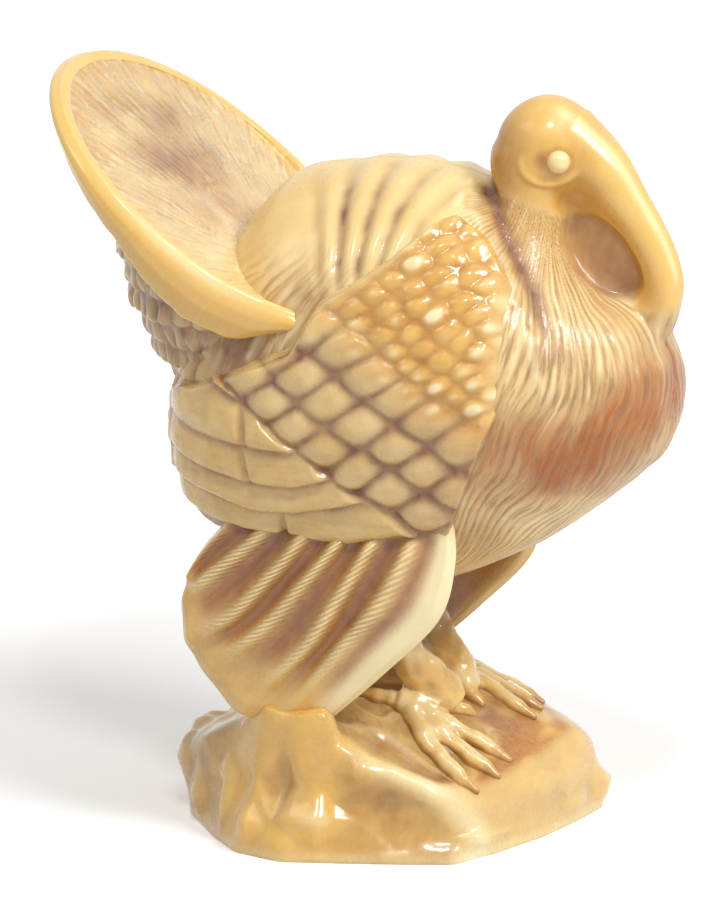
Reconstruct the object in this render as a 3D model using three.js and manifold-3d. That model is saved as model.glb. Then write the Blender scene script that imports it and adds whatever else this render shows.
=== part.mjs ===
// A small moulded turkey figure with a raised tail fan, standing on a rock.
// Millimetres, +Z up.  The bird faces +X, its right side is -Y, and the origin
// is on the flat underside of the rock, below the middle of the bird.
import * as THREE from 'three';
import { mergeVertices } from 'three/addons/utils/BufferGeometryUtils.js';
import Module from 'manifold-3d';

const wasm = await Module();
wasm.setup();

// Driving dimensions shared by the pieces.
const wall = 1.4;
const gap = 0.3;
const overrun = 2;
const pegRadius = 1.1;
const pegLength = 2.6;
const pegSides = 12;

// Torso: an egg-shaped hollow moulding with its axis along X.
const torsoRearX = -22.8;
const torsoLength = 51.9;
const torsoBottomZ = 24.4;
const torsoHeight = 43.6;
const torsoHalfWidth = 16.5;
const torsoSides = 28;
const torsoInnerSides = 16;
// Each row: share of length, then low, high and widest level as shares of the
// height, then the width as a share of the half width.
const torsoStationShares = [
  [0.000, 0.380, 0.382, 0.381, 0.000],
  [0.015, 0.266, 0.495, 0.381, 0.364],
  [0.053, 0.170, 0.633, 0.392, 0.606],
  [0.130, 0.083, 0.805, 0.415, 0.800],
  [0.225, 0.032, 0.943, 0.450, 0.921],
  [0.340, 0.005, 0.982, 0.495, 0.982],
  [0.454, 0.000, 1.000, 0.518, 1.000],
  [0.569, 0.037, 0.985, 0.541, 0.988],
  [0.664, 0.087, 0.943, 0.541, 0.945],
  [0.760, 0.151, 0.851, 0.530, 0.867],
  [0.855, 0.234, 0.748, 0.518, 0.715],
  [0.931, 0.312, 0.667, 0.507, 0.533],
  [0.979, 0.381, 0.610, 0.500, 0.333],
  [0.995, 0.440, 0.560, 0.500, 0.170],
  [1.000, 0.499, 0.501, 0.500, 0.000],
];

// Neck: level rings from inside the breast up to the head.
const neckFootZ = 44;
const neckHeight = 29.5;
const neckAxisX = 14.6;
const neckReach = 8.5;
const neckHalfWidth = 11.5;
const neckSides = 20;
// Each row: share of the height, forward shift and fore-and-aft radius as
// shares of the reach, and width as a share of the half width.
const neckStationShares = [
  [0.000, 0.635, 1.000, 1.000],
  [0.203, 0.706, 0.894, 0.922],
  [0.339, 0.659, 0.706, 0.765],
  [0.441, 0.306, 0.459, 0.643],
  [0.542, 0.094, 0.376, 0.557],
  [0.661, 0.000, 0.353, 0.487],
  [0.780, 0.024, 0.424, 0.426],
  [0.898, 0.118, 0.518, 0.400],
  [1.000, 0.188, 0.294, 0.243],
];

// Head and the long snood that hangs from it to the breast.
const headX = 15.6;
const headZ = 69.7;
const headLengthRadius = 5.2;
const headWidthRadius = 4.9;
const headHeightRadius = 5.4;
const headSides = 20;
const snoodReach = 10.4;
const snoodDrop = 18.2;
const snoodRootRadius = 4.6;
const snoodRootX = 17.2;
const snoodRootZ = 70.4;
const snoodSides = 14;
// Each row: forward and downward shares of reach and drop, share of radius.
const snoodStationShares = [
  [0.000, 0.000, 0.900],
  [0.324, 0.115, 0.720],
  [0.602, 0.298, 0.600],
  [0.843, 0.497, 0.530],
  [0.991, 0.675, 0.520],
  [1.000, 0.853, 0.500],
  [0.935, 1.000, 0.430],
];
const webThickness = 2.4;
// Corners of the web between neck and snood, as shares of reach and drop.
const webCornerShares = [
  [-0.23, 0.39], [0.14, 0.29], [0.60, 0.50], [0.88, 0.76], [0.88, 0.97], [0.05, 0.97],
];

// Locating tabs behind the mid-plane joint of the two halves.
const tabWidth = 5;
const tabThickness = 1.2;
const tabReach = 3;
const tabPlaceShares = [[0.44, 0.90], [0.44, 0.10], [0.78, 0.12]];

// Wing shield: the panel of small feathers over each flank.
const shieldThickness = 1.9;
const shieldEdgeThickness = 1.1;
const shieldSteps = 26;
const shieldRows = 12;
// Each row: share of the torso's length, then the top and bottom edges as
// shares of the half turn from the back's ridge to the belly.
const shieldEdgeShares = [
  [0.034, 0.361, 0.644],
  [0.061, 0.372, 0.728],
  [0.115, 0.403, 0.772],
  [0.225, 0.411, 0.709],
  [0.340, 0.394, 0.711],
  [0.389, 0.326, 0.722],
  [0.454, 0.300, 0.728],
  [0.521, 0.258, 0.744],
  [0.568, 0.205, 0.756],
  [0.618, 0.120, 0.763],
  [0.676, 0.128, 0.661],
  [0.724, 0.174, 0.567],
  [0.756, 0.225, 0.493],
  [0.776, 0.272, 0.403],
];
const shieldPegShares = [[0.28, 0.545], [0.62, 0.50]];

// Primaries: the drooped flight feathers, a leaf that hangs from the lower
// flank to the rock, so its root follows the torso.
const leafRootShare = 0.22;
const leafOuterShare = 0.885;
const leafFootZ = 11;
const leafTopZ = torsoBottomZ + torsoHeight * leafRootShare;
const leafHeight = leafTopZ - leafFootZ;
const leafOuterY = torsoHalfWidth * leafOuterShare;
const leafRearX = -18.4;
const leafLength = 28.3;
const leafCamber = 1.2;
const leafThickness = 2.2;
const leafRibs = 7;
const leafRibSteps = 4;
const leafRelief = 0.5;
// Each row: share of the height down from the top, rear and front edges as
// shares of the length, and how far out as a share of the outer place.
const leafRowShares = [
  [0.000, 0.120, 1.000, 0.89],
  [0.080, 0.090, 1.000, 0.91],
  [0.260, 0.035, 0.990, 0.97],
  [0.465, 0.000, 0.930, 1.00],
  [0.591, 0.017, 0.834, 1.01],
  [0.683, 0.052, 0.734, 1.01],
  [0.783, 0.121, 0.581, 1.01],
  [0.857, 0.201, 0.498, 1.00],
  [1.000, 0.290, 0.440, 0.99],
];
const leafPegX = -3;
const leafPegDrop = 2.8;
const leafPegZ = leafTopZ - leafPegDrop;

// Tail fan: a dished disc that leans back over the rump.
const fanCentreX = -20.1;
const fanCentreZ = 63.8;
const fanLean = THREE.MathUtils.degToRad(40.3);
const fanRadius = 19.8;
const fanThickness = 3.0;
const fanHubThickness = 6.4;
const fanRimWidth = 3.2;
const fanRecess = 1.1;
const fanSides = 48;
// At an angle from the fan's top, as a share of the half turn: rim radius and
// forward curl as shares of the radius, then the swell of the back as a share
// of the thickness.
const fanRimShares = [
  [0.00, 1.00, 0.00, -0.60],
  [0.30, 1.00, 0.00, -0.30],
  [0.50, 1.00, 0.00, 0.20],
  [0.58, 1.01, 0.00, 0.50],
  [0.66, 1.045, 0.02, 0.90],
  [0.73, 1.09, 0.055, 1.05],
  [0.77, 1.16, 0.12, 0.80],
  [1.00, 1.16, 0.12, 0.60],
];
const fanTenonWidth = 8;
const fanTenonThickness = 2.2;
const fanTenonLength = 11;
const fanTenonStart = 2.5;

// Tail coverts: the stepped mass of short feathers behind the fan.
const covertBottomZ = 43.5;
const covertHeight = 21.5;
const covertRearX = -28.6;
const covertDepth = 14;
const covertHalfWidth = 14.5;
const covertSides = 24;
// Each row: share of the height, rear edge as a share of the depth behind the
// front, and share of the half width.
const covertStationShares = [
  [0.00, 0.58, 0.55],
  [0.14, 0.72, 0.72],
  [0.17, 0.79, 0.78],
  [0.36, 0.90, 0.90],
  [0.40, 0.96, 0.95],
  [0.62, 1.02, 1.00],
  [0.66, 1.07, 1.04],
  [0.88, 1.04, 0.98],
  [1.00, 0.92, 0.70],
];
const covertPegY = 3.6;
const covertPegZ = 49;

// Eyes: round beads set in the sides of the head.
const eyeRadius = 1.15;
const eyeX = 18.0;
const eyeZ = 69.4;
const eyeSink = 0.45;
const eyePegRadius = 0.6;
const eyePegLength = 1.8;

// Legs and feet.
const legX = 1.0;
const legZ = 26.5;
const legY = 4.6;
const legRun = 4.4;
const legDrop = 12.6;
const legRadius = 3;
const legSides = 12;
// Each row: share of the run, share of the drop, share of the radius.
const legStationShares = [
  [-0.12, -0.30, 1.05],
  [0.00, 0.25, 0.74],
  [0.10, 0.56, 0.56],
  [0.36, 0.82, 0.78],
  [0.80, 0.98, 0.76],
  [1.15, 1.07, 0.45],
];
const toeLength = 8;
const toeRadius = 1.5;
const toeSides = 8;
const toeStations = 5;
const toeSpread = THREE.MathUtils.degToRad(26);
const toeSink = 0.8;
const clawRadius = 0.75;
const toeTurnShares = [-1, 0, 1];
const heelLength = 4.2;

// Rock: an irregular block with a flat underside.
const rockLength = 41.6;
const rockRearX = -23;
const rockHalfWidth = 19.5;
const rockHeight = 15;
const rockWall = 2.2;
const rockInset = 1.3;
const rockBulge = 0.7;
// Corners round the plan, as shares of the length and the half width.
const rockCornerShares = [
  [0.000, -0.02],
  [0.078, -0.40],
  [0.206, -0.74],
  [0.298, -0.93],
  [0.426, -1.00],
  [0.567, -0.91],
  [0.697, -0.82],
  [0.823, -0.72],
  [0.884, -0.46],
  [0.946, -0.11],
  [0.979, 0.20],
  [1.000, 0.50],
  [0.863, 0.74],
  [0.662, 0.88],
  [0.426, 0.95],
  [0.236, 0.78],
  [0.083, 0.44],
];
// Along the length: level of the ridge as a share of the height, and how far
// the top falls towards either side as a share of that level.
const rockRidgeShares = [
  [0.00, 0.40, 0.00],
  [0.08, 0.54, 0.00],
  [0.20, 0.74, 0.00],
  [0.30, 0.88, 0.05],
  [0.58, 0.97, 0.18],
  [0.67, 0.93, 0.35],
  [0.76, 0.86, 0.55],
  [0.84, 0.73, 0.70],
  [0.93, 0.56, 0.40],
  [1.00, 0.45, 0.10],
];
const rockCrownX = 1.5;
const plateThickness = 1.8;

// Finishes.
const ivory = { color: 0xe9cf98, roughness: 0.32, metalness: 0 };
const honey = { color: 0xe2b765, roughness: 0.3, metalness: 0 };
const stained = { color: 0xc99f7c, roughness: 0.4, metalness: 0 };
const bead = { color: 0xf2e2b8, roughness: 0.25, metalness: 0 };

// A value read between the rows of a table of shares.
function between(rows, at, column) {
  if (at <= rows[0][0]) return rows[0][column];
  for (let row = 1; row < rows.length; row += 1) {
    const [before, after] = [rows[row - 1], rows[row]];
    if (at <= after[0]) {
      const part = (at - before[0]) / (after[0] - before[0]);
      return before[column] + part * (after[column] - before[column]);
    }
  }
  return rows[rows.length - 1][column];
}

// A closed skin through rings of points.  An end is closed from its middle, or
// across from edge to edge where the rings are thin strips.
function skin(rings, strips = false) {
  const sides = rings[0].length;
  const places = [];
  const faces = [];
  for (const ring of rings) {
    for (const point of ring) places.push(point.x, point.y, point.z);
  }
  for (let ring = 0; ring + 1 < rings.length; ring += 1) {
    for (let side = 0; side < sides; side += 1) {
      const here = ring * sides + side;
      const next = ring * sides + ((side + 1) % sides);
      faces.push(here, next, here + sides, next, next + sides, here + sides);
    }
  }
  const last = (rings.length - 1) * sides;
  if (strips) {
    for (let side = 0; side + 1 < sides / 2; side += 1) {
      const across = sides - 1 - side;
      faces.push(side, across, side + 1);
      faces.push(across, across - 1, side + 1);
      faces.push(last + side, last + side + 1, last + across);
      faces.push(last + across, last + side + 1, last + across - 1);
    }
  } else {
    for (const end of [rings[0], rings[rings.length - 1]]) {
      const middle = end.reduce((sum, point) => sum.add(point), new THREE.Vector3()).divideScalar(sides);
      places.push(middle.x, middle.y, middle.z);
    }
    const first = rings.length * sides;
    for (let side = 0; side < sides; side += 1) {
      const next = (side + 1) % sides;
      faces.push(first, next, side, first + 1, last + side, last + next);
    }
  }
  const geometry = new THREE.BufferGeometry();
  geometry.setAttribute('position', new THREE.Float32BufferAttribute(places, 3));
  geometry.setIndex(faces);
  return geometry;
}

// A solid for cutting and joining.  A skin that came out inside out is turned.
function solid(geometry, matrix) {
  const bare = geometry.clone();
  if (matrix) bare.applyMatrix4(matrix);
  bare.deleteAttribute('normal');
  bare.deleteAttribute('uv');
  const merged = mergeVertices(bare);
  const places = merged.attributes.position.array;
  const faces = [];
  const index = merged.index.array;
  let volume = 0;
  for (let face = 0; face < index.length; face += 3) {
    const [a, b, c] = [index[face], index[face + 1], index[face + 2]];
    if (a === b || b === c || a === c) continue;
    faces.push(a, b, c);
    const [pa, pb, pc] = [a, b, c].map((at) => new THREE.Vector3().fromArray(places, 3 * at));
    volume += pa.dot(pb.cross(pc));
  }
  if (volume < 0) faces.reverse();
  return new wasm.Manifold(new wasm.Mesh({
    numProp: 3,
    vertProperties: new Float32Array(places),
    triVerts: new Uint32Array(faces),
  }));
}

function piece(name, made, finish) {
  const mesh = made.getMesh();
  const geometry = new THREE.BufferGeometry();
  geometry.setAttribute('position', new THREE.BufferAttribute(mesh.vertProperties, 3));
  geometry.setIndex(new THREE.BufferAttribute(mesh.triVerts, 1));
  const flat = geometry.toNonIndexed();
  flat.computeVertexNormals();
  const shown = new THREE.Mesh(flat, new THREE.MeshStandardMaterial(finish));
  shown.name = name;
  return shown;
}

function moved(x, y, z) {
  return new THREE.Matrix4().makeTranslation(x, y, z);
}

function box(low, high) {
  const size = high.clone().sub(low);
  const middle = high.clone().add(low).multiplyScalar(0.5);
  const geometry = new THREE.BoxGeometry(size.x, size.y, size.z);
  return solid(geometry, moved(middle.x, middle.y, middle.z));
}

// A round peg from one point to another.
function peg(from, to, radius) {
  const along = to.clone().sub(from);
  const upright = new THREE.Vector3(0, 1, 0);
  const turn = new THREE.Quaternion().setFromUnitVectors(upright, along.clone().normalize());
  const middle = from.clone().add(to).multiplyScalar(0.5);
  const geometry = new THREE.CylinderGeometry(radius, radius, along.length(), pegSides);
  const matrix = new THREE.Matrix4().compose(middle, turn, new THREE.Vector3(1, 1, 1));
  return solid(geometry, matrix);
}

// A round limb through centres with a radius at each.
function limb(centres, radii, sides) {
  const rings = centres.map((centre, at) => {
    const before = centres[Math.max(at - 1, 0)];
    const after = centres[Math.min(at + 1, centres.length - 1)];
    const along = after.clone().sub(before).normalize();
    const across = new THREE.Vector3(0, 1, 0).cross(along).normalize();
    const up = along.clone().cross(across).normalize();
    const ring = [];
    for (let side = 0; side < sides; side += 1) {
      const turn = (2 * Math.PI * side) / sides;
      ring.push(centre.clone()
        .addScaledVector(across, radii[at] * Math.cos(turn))
        .addScaledVector(up, radii[at] * Math.sin(turn)));
    }
    return ring;
  });
  return solid(skin(rings));
}

// A point on the torso: share of the length, share of the half turn from the
// ridge of the back to the belly, and the side, -1 for the right.
function torsoPoint(lengthShare, turnShare, side, proud) {
  const low = torsoBottomZ + torsoHeight * between(torsoStationShares, lengthShare, 1) - proud;
  const high = torsoBottomZ + torsoHeight * between(torsoStationShares, lengthShare, 2) + proud;
  const level = torsoBottomZ + torsoHeight * between(torsoStationShares, lengthShare, 3);
  const halfWidth = torsoHalfWidth * between(torsoStationShares, lengthShare, 4) + proud;
  const turn = Math.PI * turnShare;
  const rise = Math.cos(turn) > 0 ? high - level : level - low;
  return new THREE.Vector3(
    torsoRearX + torsoLength * lengthShare,
    side * halfWidth * Math.sin(turn),
    level + rise * Math.cos(turn),
  );
}

function torsoSolid(proud, sides) {
  const last = torsoStationShares.length - 1;
  const rings = torsoStationShares.map(([lengthShare], row) => {
    const ring = [];
    for (let side = 0; side < sides; side += 1) {
      const share = (2 * side) / sides;
      const point = share <= 1
        ? torsoPoint(lengthShare, share, 1, row % last ? proud : 0)
        : torsoPoint(lengthShare, 2 - share, -1, row % last ? proud : 0);
      if (row === 0) point.x -= proud;
      if (row === last) point.x += proud;
      ring.push(point);
    }
    return ring;
  });
  return solid(skin(rings));
}

function neckSolid(proud) {
  const rings = neckStationShares.map(([heightShare, shiftShare, reachShare, widthShare]) => {
    const ring = [];
    for (let side = 0; side < neckSides; side += 1) {
      const turn = (2 * Math.PI * side) / neckSides;
      ring.push(new THREE.Vector3(
        neckAxisX + neckReach * shiftShare + (neckReach * reachShare + proud) * Math.cos(turn),
        (neckHalfWidth * widthShare + proud) * Math.sin(turn),
        neckFootZ + neckHeight * heightShare,
      ));
    }
    return ring;
  });
  return solid(skin(rings));
}

function headSolid(proud) {
  const shape = new THREE.SphereGeometry(1, headSides, headSides / 2);
  const size = new THREE.Vector3(headLengthRadius, headWidthRadius, headHeightRadius).addScalar(proud);
  const matrix = moved(headX, 0, headZ).multiply(new THREE.Matrix4().makeScale(size.x, size.y, size.z));
  return solid(shape, matrix);
}

function snoodSolid() {
  const centres = snoodStationShares.map(([reachShare, dropShare]) => new THREE.Vector3(
    snoodRootX + snoodReach * reachShare, 0, snoodRootZ - snoodDrop * dropShare));
  const radii = snoodStationShares.map((row) => snoodRootRadius * row[2]);
  return limb(centres, radii, snoodSides);
}

function webSolid() {
  const outline = new THREE.Shape(webCornerShares.map(([reachShare, dropShare]) => new THREE.Vector2(
    snoodRootX + snoodReach * reachShare, snoodRootZ - snoodDrop * dropShare)));
  const geometry = new THREE.ExtrudeGeometry(outline, { depth: webThickness, bevelEnabled: false });
  const upright = new THREE.Matrix4().makeRotationX(Math.PI / 2);
  return solid(geometry, moved(0, webThickness / 2, 0).multiply(upright));
}

// The frame of the fan: up its face, out of its face, and a point in it.
const fanUp = new THREE.Vector3(-Math.cos(fanLean), 0, Math.sin(fanLean));
const fanOut = new THREE.Vector3(Math.sin(fanLean), 0, Math.cos(fanLean));

function fanPoint(up, across, out) {
  return new THREE.Vector3(fanCentreX, across, fanCentreZ)
    .addScaledVector(fanUp, up)
    .addScaledVector(fanOut, out);
}

function fanDisc(proud) {
  // From the middle of the face, over the rim, to the middle of the back.
  const profile = [
    [0, proud - fanRecess, 0],
    [-fanRimWidth, proud - fanRecess, 0],
    [-fanRimWidth * 0.8, proud - fanRecess * 0.2, 0],
    [-fanRimWidth * 0.4, proud, 0],
    [proud - fanRimWidth * 0.1, proud - fanThickness * 0.25, 0],
    [proud, -fanThickness * 0.6, 0.5],
    [proud - fanRimWidth * 0.25, -fanThickness - proud, 0.9],
    [proud - fanRimWidth * 1.4, -fanThickness * 1.3 - proud, 1],
    [0, -fanHubThickness - proud, 1],
  ];
  const last = profile.length - 1;
  const rings = profile.map(([inward, out, depth], row) => {
    const ring = [];
    for (let side = 0; side < fanSides; side += 1) {
      const turn = (2 * Math.PI * side) / fanSides;
      const share = Math.abs(turn > Math.PI ? 2 * Math.PI - turn : turn) / Math.PI;
      const rim = fanRadius * between(fanRimShares, share, 1);
      const reach = row % last ? rim + inward : rim * 0.3;
      const curl = fanRadius * between(fanRimShares, share, 2) * (reach / rim) ** 2;
      const swell = fanThickness * depth * between(fanRimShares, share, 3);
      ring.push(fanPoint(reach * Math.cos(turn), reach * Math.sin(turn), out + curl - swell));
    }
    return ring;
  });
  return solid(skin(rings));
}

// Everything in front of the fan's face, which the coverts stay behind.
function fanFront() {
  const reach = 2 * fanRadius;
  const corners = [-fanThickness / 2, reach].map((out) => (
    [[-reach, -reach], [reach, -reach], [reach, reach], [-reach, reach]]
      .map(([up, across]) => fanPoint(up, across, out))));
  return solid(skin(corners));
}

function fanTenon(proud) {
  const corners = [];
  const near = -fanTenonStart;
  const far = -fanTenonStart - fanTenonLength - proud;
  const half = fanTenonWidth / 2 + proud;
  const top = -(fanThickness - fanTenonThickness) / 2 - fanRecess / 2 + proud;
  const low = top - fanTenonThickness - 2 * proud + fanRecess / 2;
  for (const up of [near, far]) {
    corners.push([[-half, top], [half, top], [half, low], [-half, low]]
      .map(([across, out]) => fanPoint(up, across, out)));
  }
  return solid(skin(corners));
}

function covertSolid() {
  const frontX = covertRearX + covertDepth;
  const rings = covertStationShares.map(([heightShare, depthShare, widthShare]) => {
    const ring = [];
    for (let side = 0; side < covertSides; side += 1) {
      const turn = (2 * Math.PI * side) / covertSides;
      ring.push(new THREE.Vector3(
        frontX - covertDepth * depthShare * Math.cos(turn),
        covertHalfWidth * widthShare * Math.sin(turn),
        covertBottomZ + covertHeight * heightShare,
      ));
    }
    return ring;
  });
  return solid(skin(rings));
}

// Pegs that pin the coverts to the rump.
function covertPeg(side, proud) {
  const root = torsoRearX + wall + gap;
  return peg(
    new THREE.Vector3(root - pegLength, side * covertPegY, covertPegZ),
    new THREE.Vector3(root + pegLength + proud, side * covertPegY, covertPegZ),
    pegRadius + proud,
  );
}

function shieldSolid(side, proud) {
  const first = shieldEdgeShares[0][0];
  const last = shieldEdgeShares[shieldEdgeShares.length - 1][0];
  const rings = [];
  for (let step = 0; step <= shieldSteps; step += 1) {
    const lengthShare = first + (last - first) * (step / shieldSteps);
    const top = between(shieldEdgeShares, lengthShare, 1);
    const bottom = between(shieldEdgeShares, lengthShare, 2) + proud / torsoHeight;
    const outer = [];
    const inner = [];
    for (let row = 0; row <= shieldRows; row += 1) {
      const turnShare = top + (bottom - top) * (row / shieldRows);
      const thin = Math.min(row, step, shieldSteps - step) === 0;
      const thickness = (thin ? shieldEdgeThickness : shieldThickness) + proud;
      outer.push(torsoPoint(lengthShare, turnShare, side, thickness));
      inner.push(torsoPoint(lengthShare, turnShare, side, -gap));
    }
    rings.push(outer.concat(inner.reverse()));
  }
  return solid(skin(rings, true));
}

function shieldPeg(placeShares, side, proud) {
  const seat = torsoPoint(placeShares[0], placeShares[1], side, 0);
  const inward = -side * (wall + pegLength + proud);
  return peg(
    seat.clone().add(new THREE.Vector3(0, side * shieldEdgeThickness, 0)),
    seat.clone().add(new THREE.Vector3(0, inward, 0)),
    pegRadius + proud,
  );
}

function leafSolid(side) {
  const steps = leafRibs * leafRibSteps;
  const rings = leafRowShares.map(([heightShare, rearShare, frontShare, outShare]) => {
    const z = leafTopZ - leafHeight * heightShare;
    const outer = [];
    const inner = [];
    for (let step = 0; step <= steps; step += 1) {
      const part = step / steps;
      const x = leafRearX + leafLength * (rearShare + (frontShare - rearShare) * part);
      const camber = leafCamber * (1 - (2 * part - 1) ** 2);
      const rib = leafRelief * (1 - Math.cos(2 * Math.PI * leafRibs * part)) / 2;
      const y = leafOuterY * outShare + camber;
      outer.push(new THREE.Vector3(x, side * (y + rib), z));
      if (step % leafRibSteps === 0) inner.push(new THREE.Vector3(x, side * (y - leafThickness), z));
    }
    return outer.concat(inner.reverse());
  });
  return solid(skin(rings));
}

// The peg that pins a leaf's root through the flank.
function leafPeg(side, proud) {
  const seatY = side * (leafOuterY - leafThickness);
  return peg(
    new THREE.Vector3(leafPegX, seatY, leafPegZ),
    new THREE.Vector3(leafPegX, seatY - side * (wall + pegLength + proud), leafPegZ),
    pegRadius + proud,
  );
}

// Level of the rock's top at a place in plan.
function rockTop(x, y) {
  const lengthShare = (x - rockRearX) / rockLength;
  const fall = between(rockRidgeShares, lengthShare, 2) * (y / rockHalfWidth) ** 2;
  return rockHeight * between(rockRidgeShares, lengthShare, 1) * (1 - fall);
}

// The rock, grown by proud, or its hollow when grown by less than nothing.
function rockSolid(proud) {
  const corners = rockCornerShares.map(([lengthShare, widthShare]) => (
    new THREE.Vector2(rockRearX + rockLength * lengthShare, rockHalfWidth * widthShare)));
  const ring = (shrink, level) => corners.map((corner, at) => {
    const reach = Math.hypot(corner.x - rockCrownX, corner.y);
    const keep = Math.max((reach - shrink(at) + proud) / reach, 0);
    const x = rockCrownX + (corner.x - rockCrownX) * keep;
    const y = corner.y * keep;
    return new THREE.Vector3(x, y, level(x, y));
  });
  const floor = proud < 0 ? -overrun : 0;
  const bulge = proud < 0 ? 0 : rockBulge;
  const rings = [
    ring(() => 0, () => floor),
    ring((at) => (at % 2 ? -bulge : bulge), (x, y) => rockTop(x, y) * 0.42),
    ring(() => rockInset, (x, y) => rockTop(x, y) * 0.88 + proud),
    ring(() => 2 * rockInset, (x, y) => rockTop(x, y) + proud),
    ring((at) => 5 * rockInset + (at % 3) * rockBulge, (x, y) => rockTop(x, y) + proud),
    ring((at) => 8 * rockInset + (at % 2) * rockBulge, (x, y) => rockTop(x, y) + proud),
  ];
  return solid(skin(rings));
}

function plateSolid() {
  const corners = rockCornerShares.map(([lengthShare, widthShare]) => {
    const x = rockRearX + rockLength * lengthShare;
    const y = rockHalfWidth * widthShare;
    const reach = Math.hypot(x - rockCrownX, y);
    const keep = (reach - rockWall - gap) / reach;
    return new THREE.Vector2(rockCrownX + (x - rockCrownX) * keep, y * keep);
  });
  const outline = new THREE.Shape(corners);
  return solid(new THREE.ExtrudeGeometry(outline, { depth: plateThickness, bevelEnabled: false }));
}

function legSolid(side) {
  const centres = legStationShares.map(([runShare, dropShare]) => new THREE.Vector3(
    legX + legRun * runShare, side * legY, legZ - legDrop * dropShare));
  const radii = legStationShares.map((row) => legRadius * row[2]);
  return limb(centres, radii, legSides);
}

// One toe, following the top of the rock out to its claw.
function toeSolid(side, turn, length) {
  const start = new THREE.Vector3(legX + legRun, side * legY, 0);
  const centres = [];
  const radii = [];
  for (let station = 0; station < toeStations; station += 1) {
    const part = station / (toeStations - 1);
    const x = start.x + length * part * Math.cos(turn);
    const y = start.y + length * part * Math.sin(turn);
    const radius = toeRadius + (clawRadius - toeRadius) * part;
    centres.push(new THREE.Vector3(x, y, rockTop(x, y) + radius - toeSink));
    radii.push(radius);
  }
  return limb(centres, radii, toeSides);
}

function footSolid(side) {
  let made = legSolid(side);
  for (const share of toeTurnShares) made = made.add(toeSolid(side, share * toeSpread, toeLength));
  return made.add(toeSolid(side, Math.PI, heelLength));
}

function footPeg(side, proud) {
  const x = legX + legRun;
  const top = rockTop(x, legY) + legRadius;
  return peg(
    new THREE.Vector3(x, side * legY, top - legRadius / 2),
    new THREE.Vector3(x, side * legY, rockTop(x, legY) - rockWall - pegLength - proud),
    pegRadius + proud,
  );
}

function eyeSolid(side, proud) {
  const spread = Math.sqrt(1 - ((eyeX - headX) / headLengthRadius) ** 2);
  const seat = new THREE.Vector3(eyeX, side * (headWidthRadius * spread - eyeSink + gap), eyeZ);
  const end = seat.clone().add(new THREE.Vector3(0, -side * (eyePegLength + proud), 0));
  const ball = new THREE.SphereGeometry(eyeRadius + proud, pegSides, pegSides / 2);
  return solid(ball, moved(seat.x, seat.y, seat.z)).add(peg(seat, end, eyePegRadius + proud));
}

// A block that takes in everything on one side of the mid-plane.
function sideBlock(side) {
  const reach = 2 * torsoLength;
  const near = (side * gap) / 2;
  const far = side * reach;
  return box(
    new THREE.Vector3(-reach, Math.min(near, far), -reach),
    new THREE.Vector3(reach, Math.max(near, far), reach),
  );
}

// Tabs inside the left half that reach behind the right half's wall.
function tabSolid([lengthShare, turnShare]) {
  const middle = torsoPoint(lengthShare, turnShare < 0.5 ? 0 : 1, 1, 0);
  const low = new THREE.Vector3(middle.x - tabWidth / 2, -tabReach, middle.z - 2 * tabWidth);
  const high = new THREE.Vector3(middle.x + tabWidth / 2, tabReach, middle.z + 2 * tabWidth);
  const back = torsoSolid(-wall - gap - tabThickness, torsoInnerSides);
  const free = torsoSolid(-wall - gap, torsoInnerSides).subtract(back);
  const rooted = torsoSolid(-wall / 2, torsoInnerSides).subtract(back);
  const root = box(new THREE.Vector3(low.x, gap, low.z), high);
  return free.intersect(box(low, high)).add(rooted.intersect(root));
}

const group = new THREE.Group();
const sides = [[-1, 'right'], [1, 'left']];
const torsoClear = torsoSolid(gap, torsoSides);
const fanBlank = fanDisc(0);
const fanClear = fanDisc(gap);

// Body halves.
const bodyOuter = torsoSolid(0, torsoSides)
  .add(neckSolid(0)).add(headSolid(0)).add(snoodSolid()).add(webSolid());
const bodyInner = torsoSolid(-wall, torsoInnerSides).add(neckSolid(-wall)).add(headSolid(-wall));
const bodyShell = bodyOuter.subtract(bodyInner);
const bodyClear = torsoClear.add(neckSolid(gap));
for (const [side, name] of sides) {
  let half = bodyShell.intersect(sideBlock(side)).subtract(fanTenon(gap));
  half = half.subtract(covertPeg(side, gap)).subtract(leafPeg(side, gap)).subtract(eyeSolid(side, gap));
  for (const place of shieldPegShares) half = half.subtract(shieldPeg(place, side, gap));
  if (side > 0) {
    for (const place of tabPlaceShares) half = half.add(tabSolid(place));
  }
  group.add(piece(`${name}_body_half`, half, ivory));
}

// Tail.
const fan = fanBlank.subtract(torsoClear).add(fanTenon(0));
group.add(piece('tail_fan', fan, honey));
let coverts = covertSolid().subtract(torsoClear).subtract(fanClear).subtract(fanFront());
for (const [side] of sides) coverts = coverts.add(covertPeg(side, 0));
group.add(piece('tail_coverts', coverts, stained));

// Wings, eyes and feet, one of each on either side.
const rockClear = rockSolid(gap);
for (const [side, name] of sides) {
  let shield = shieldSolid(side, 0).subtract(bodyClear).subtract(fanClear);
  for (const place of shieldPegShares) shield = shield.add(shieldPeg(place, side, 0));
  group.add(piece(`${name}_wing_shield`, shield, ivory));
  const leaf = leafSolid(side).subtract(torsoClear).subtract(shieldSolid(side, gap)).subtract(rockClear)
    .add(leafPeg(side, 0));
  group.add(piece(`${name}_primaries`, leaf, honey));
  group.add(piece(`${name}_eye`, eyeSolid(side, 0), bead));
  const foot = footSolid(side).subtract(torsoClear).subtract(rockClear).add(footPeg(side, 0));
  group.add(piece(`${name}_foot`, foot, honey));
}

// Rock and the plate that closes it.
let rock = rockSolid(0).subtract(rockSolid(-rockWall));
for (const [side] of sides) rock = rock.subtract(footPeg(side, gap));
group.add(piece('rock', rock, honey));
group.add(piece('closing_plate', plateSolid(), honey));

export default group;
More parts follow.
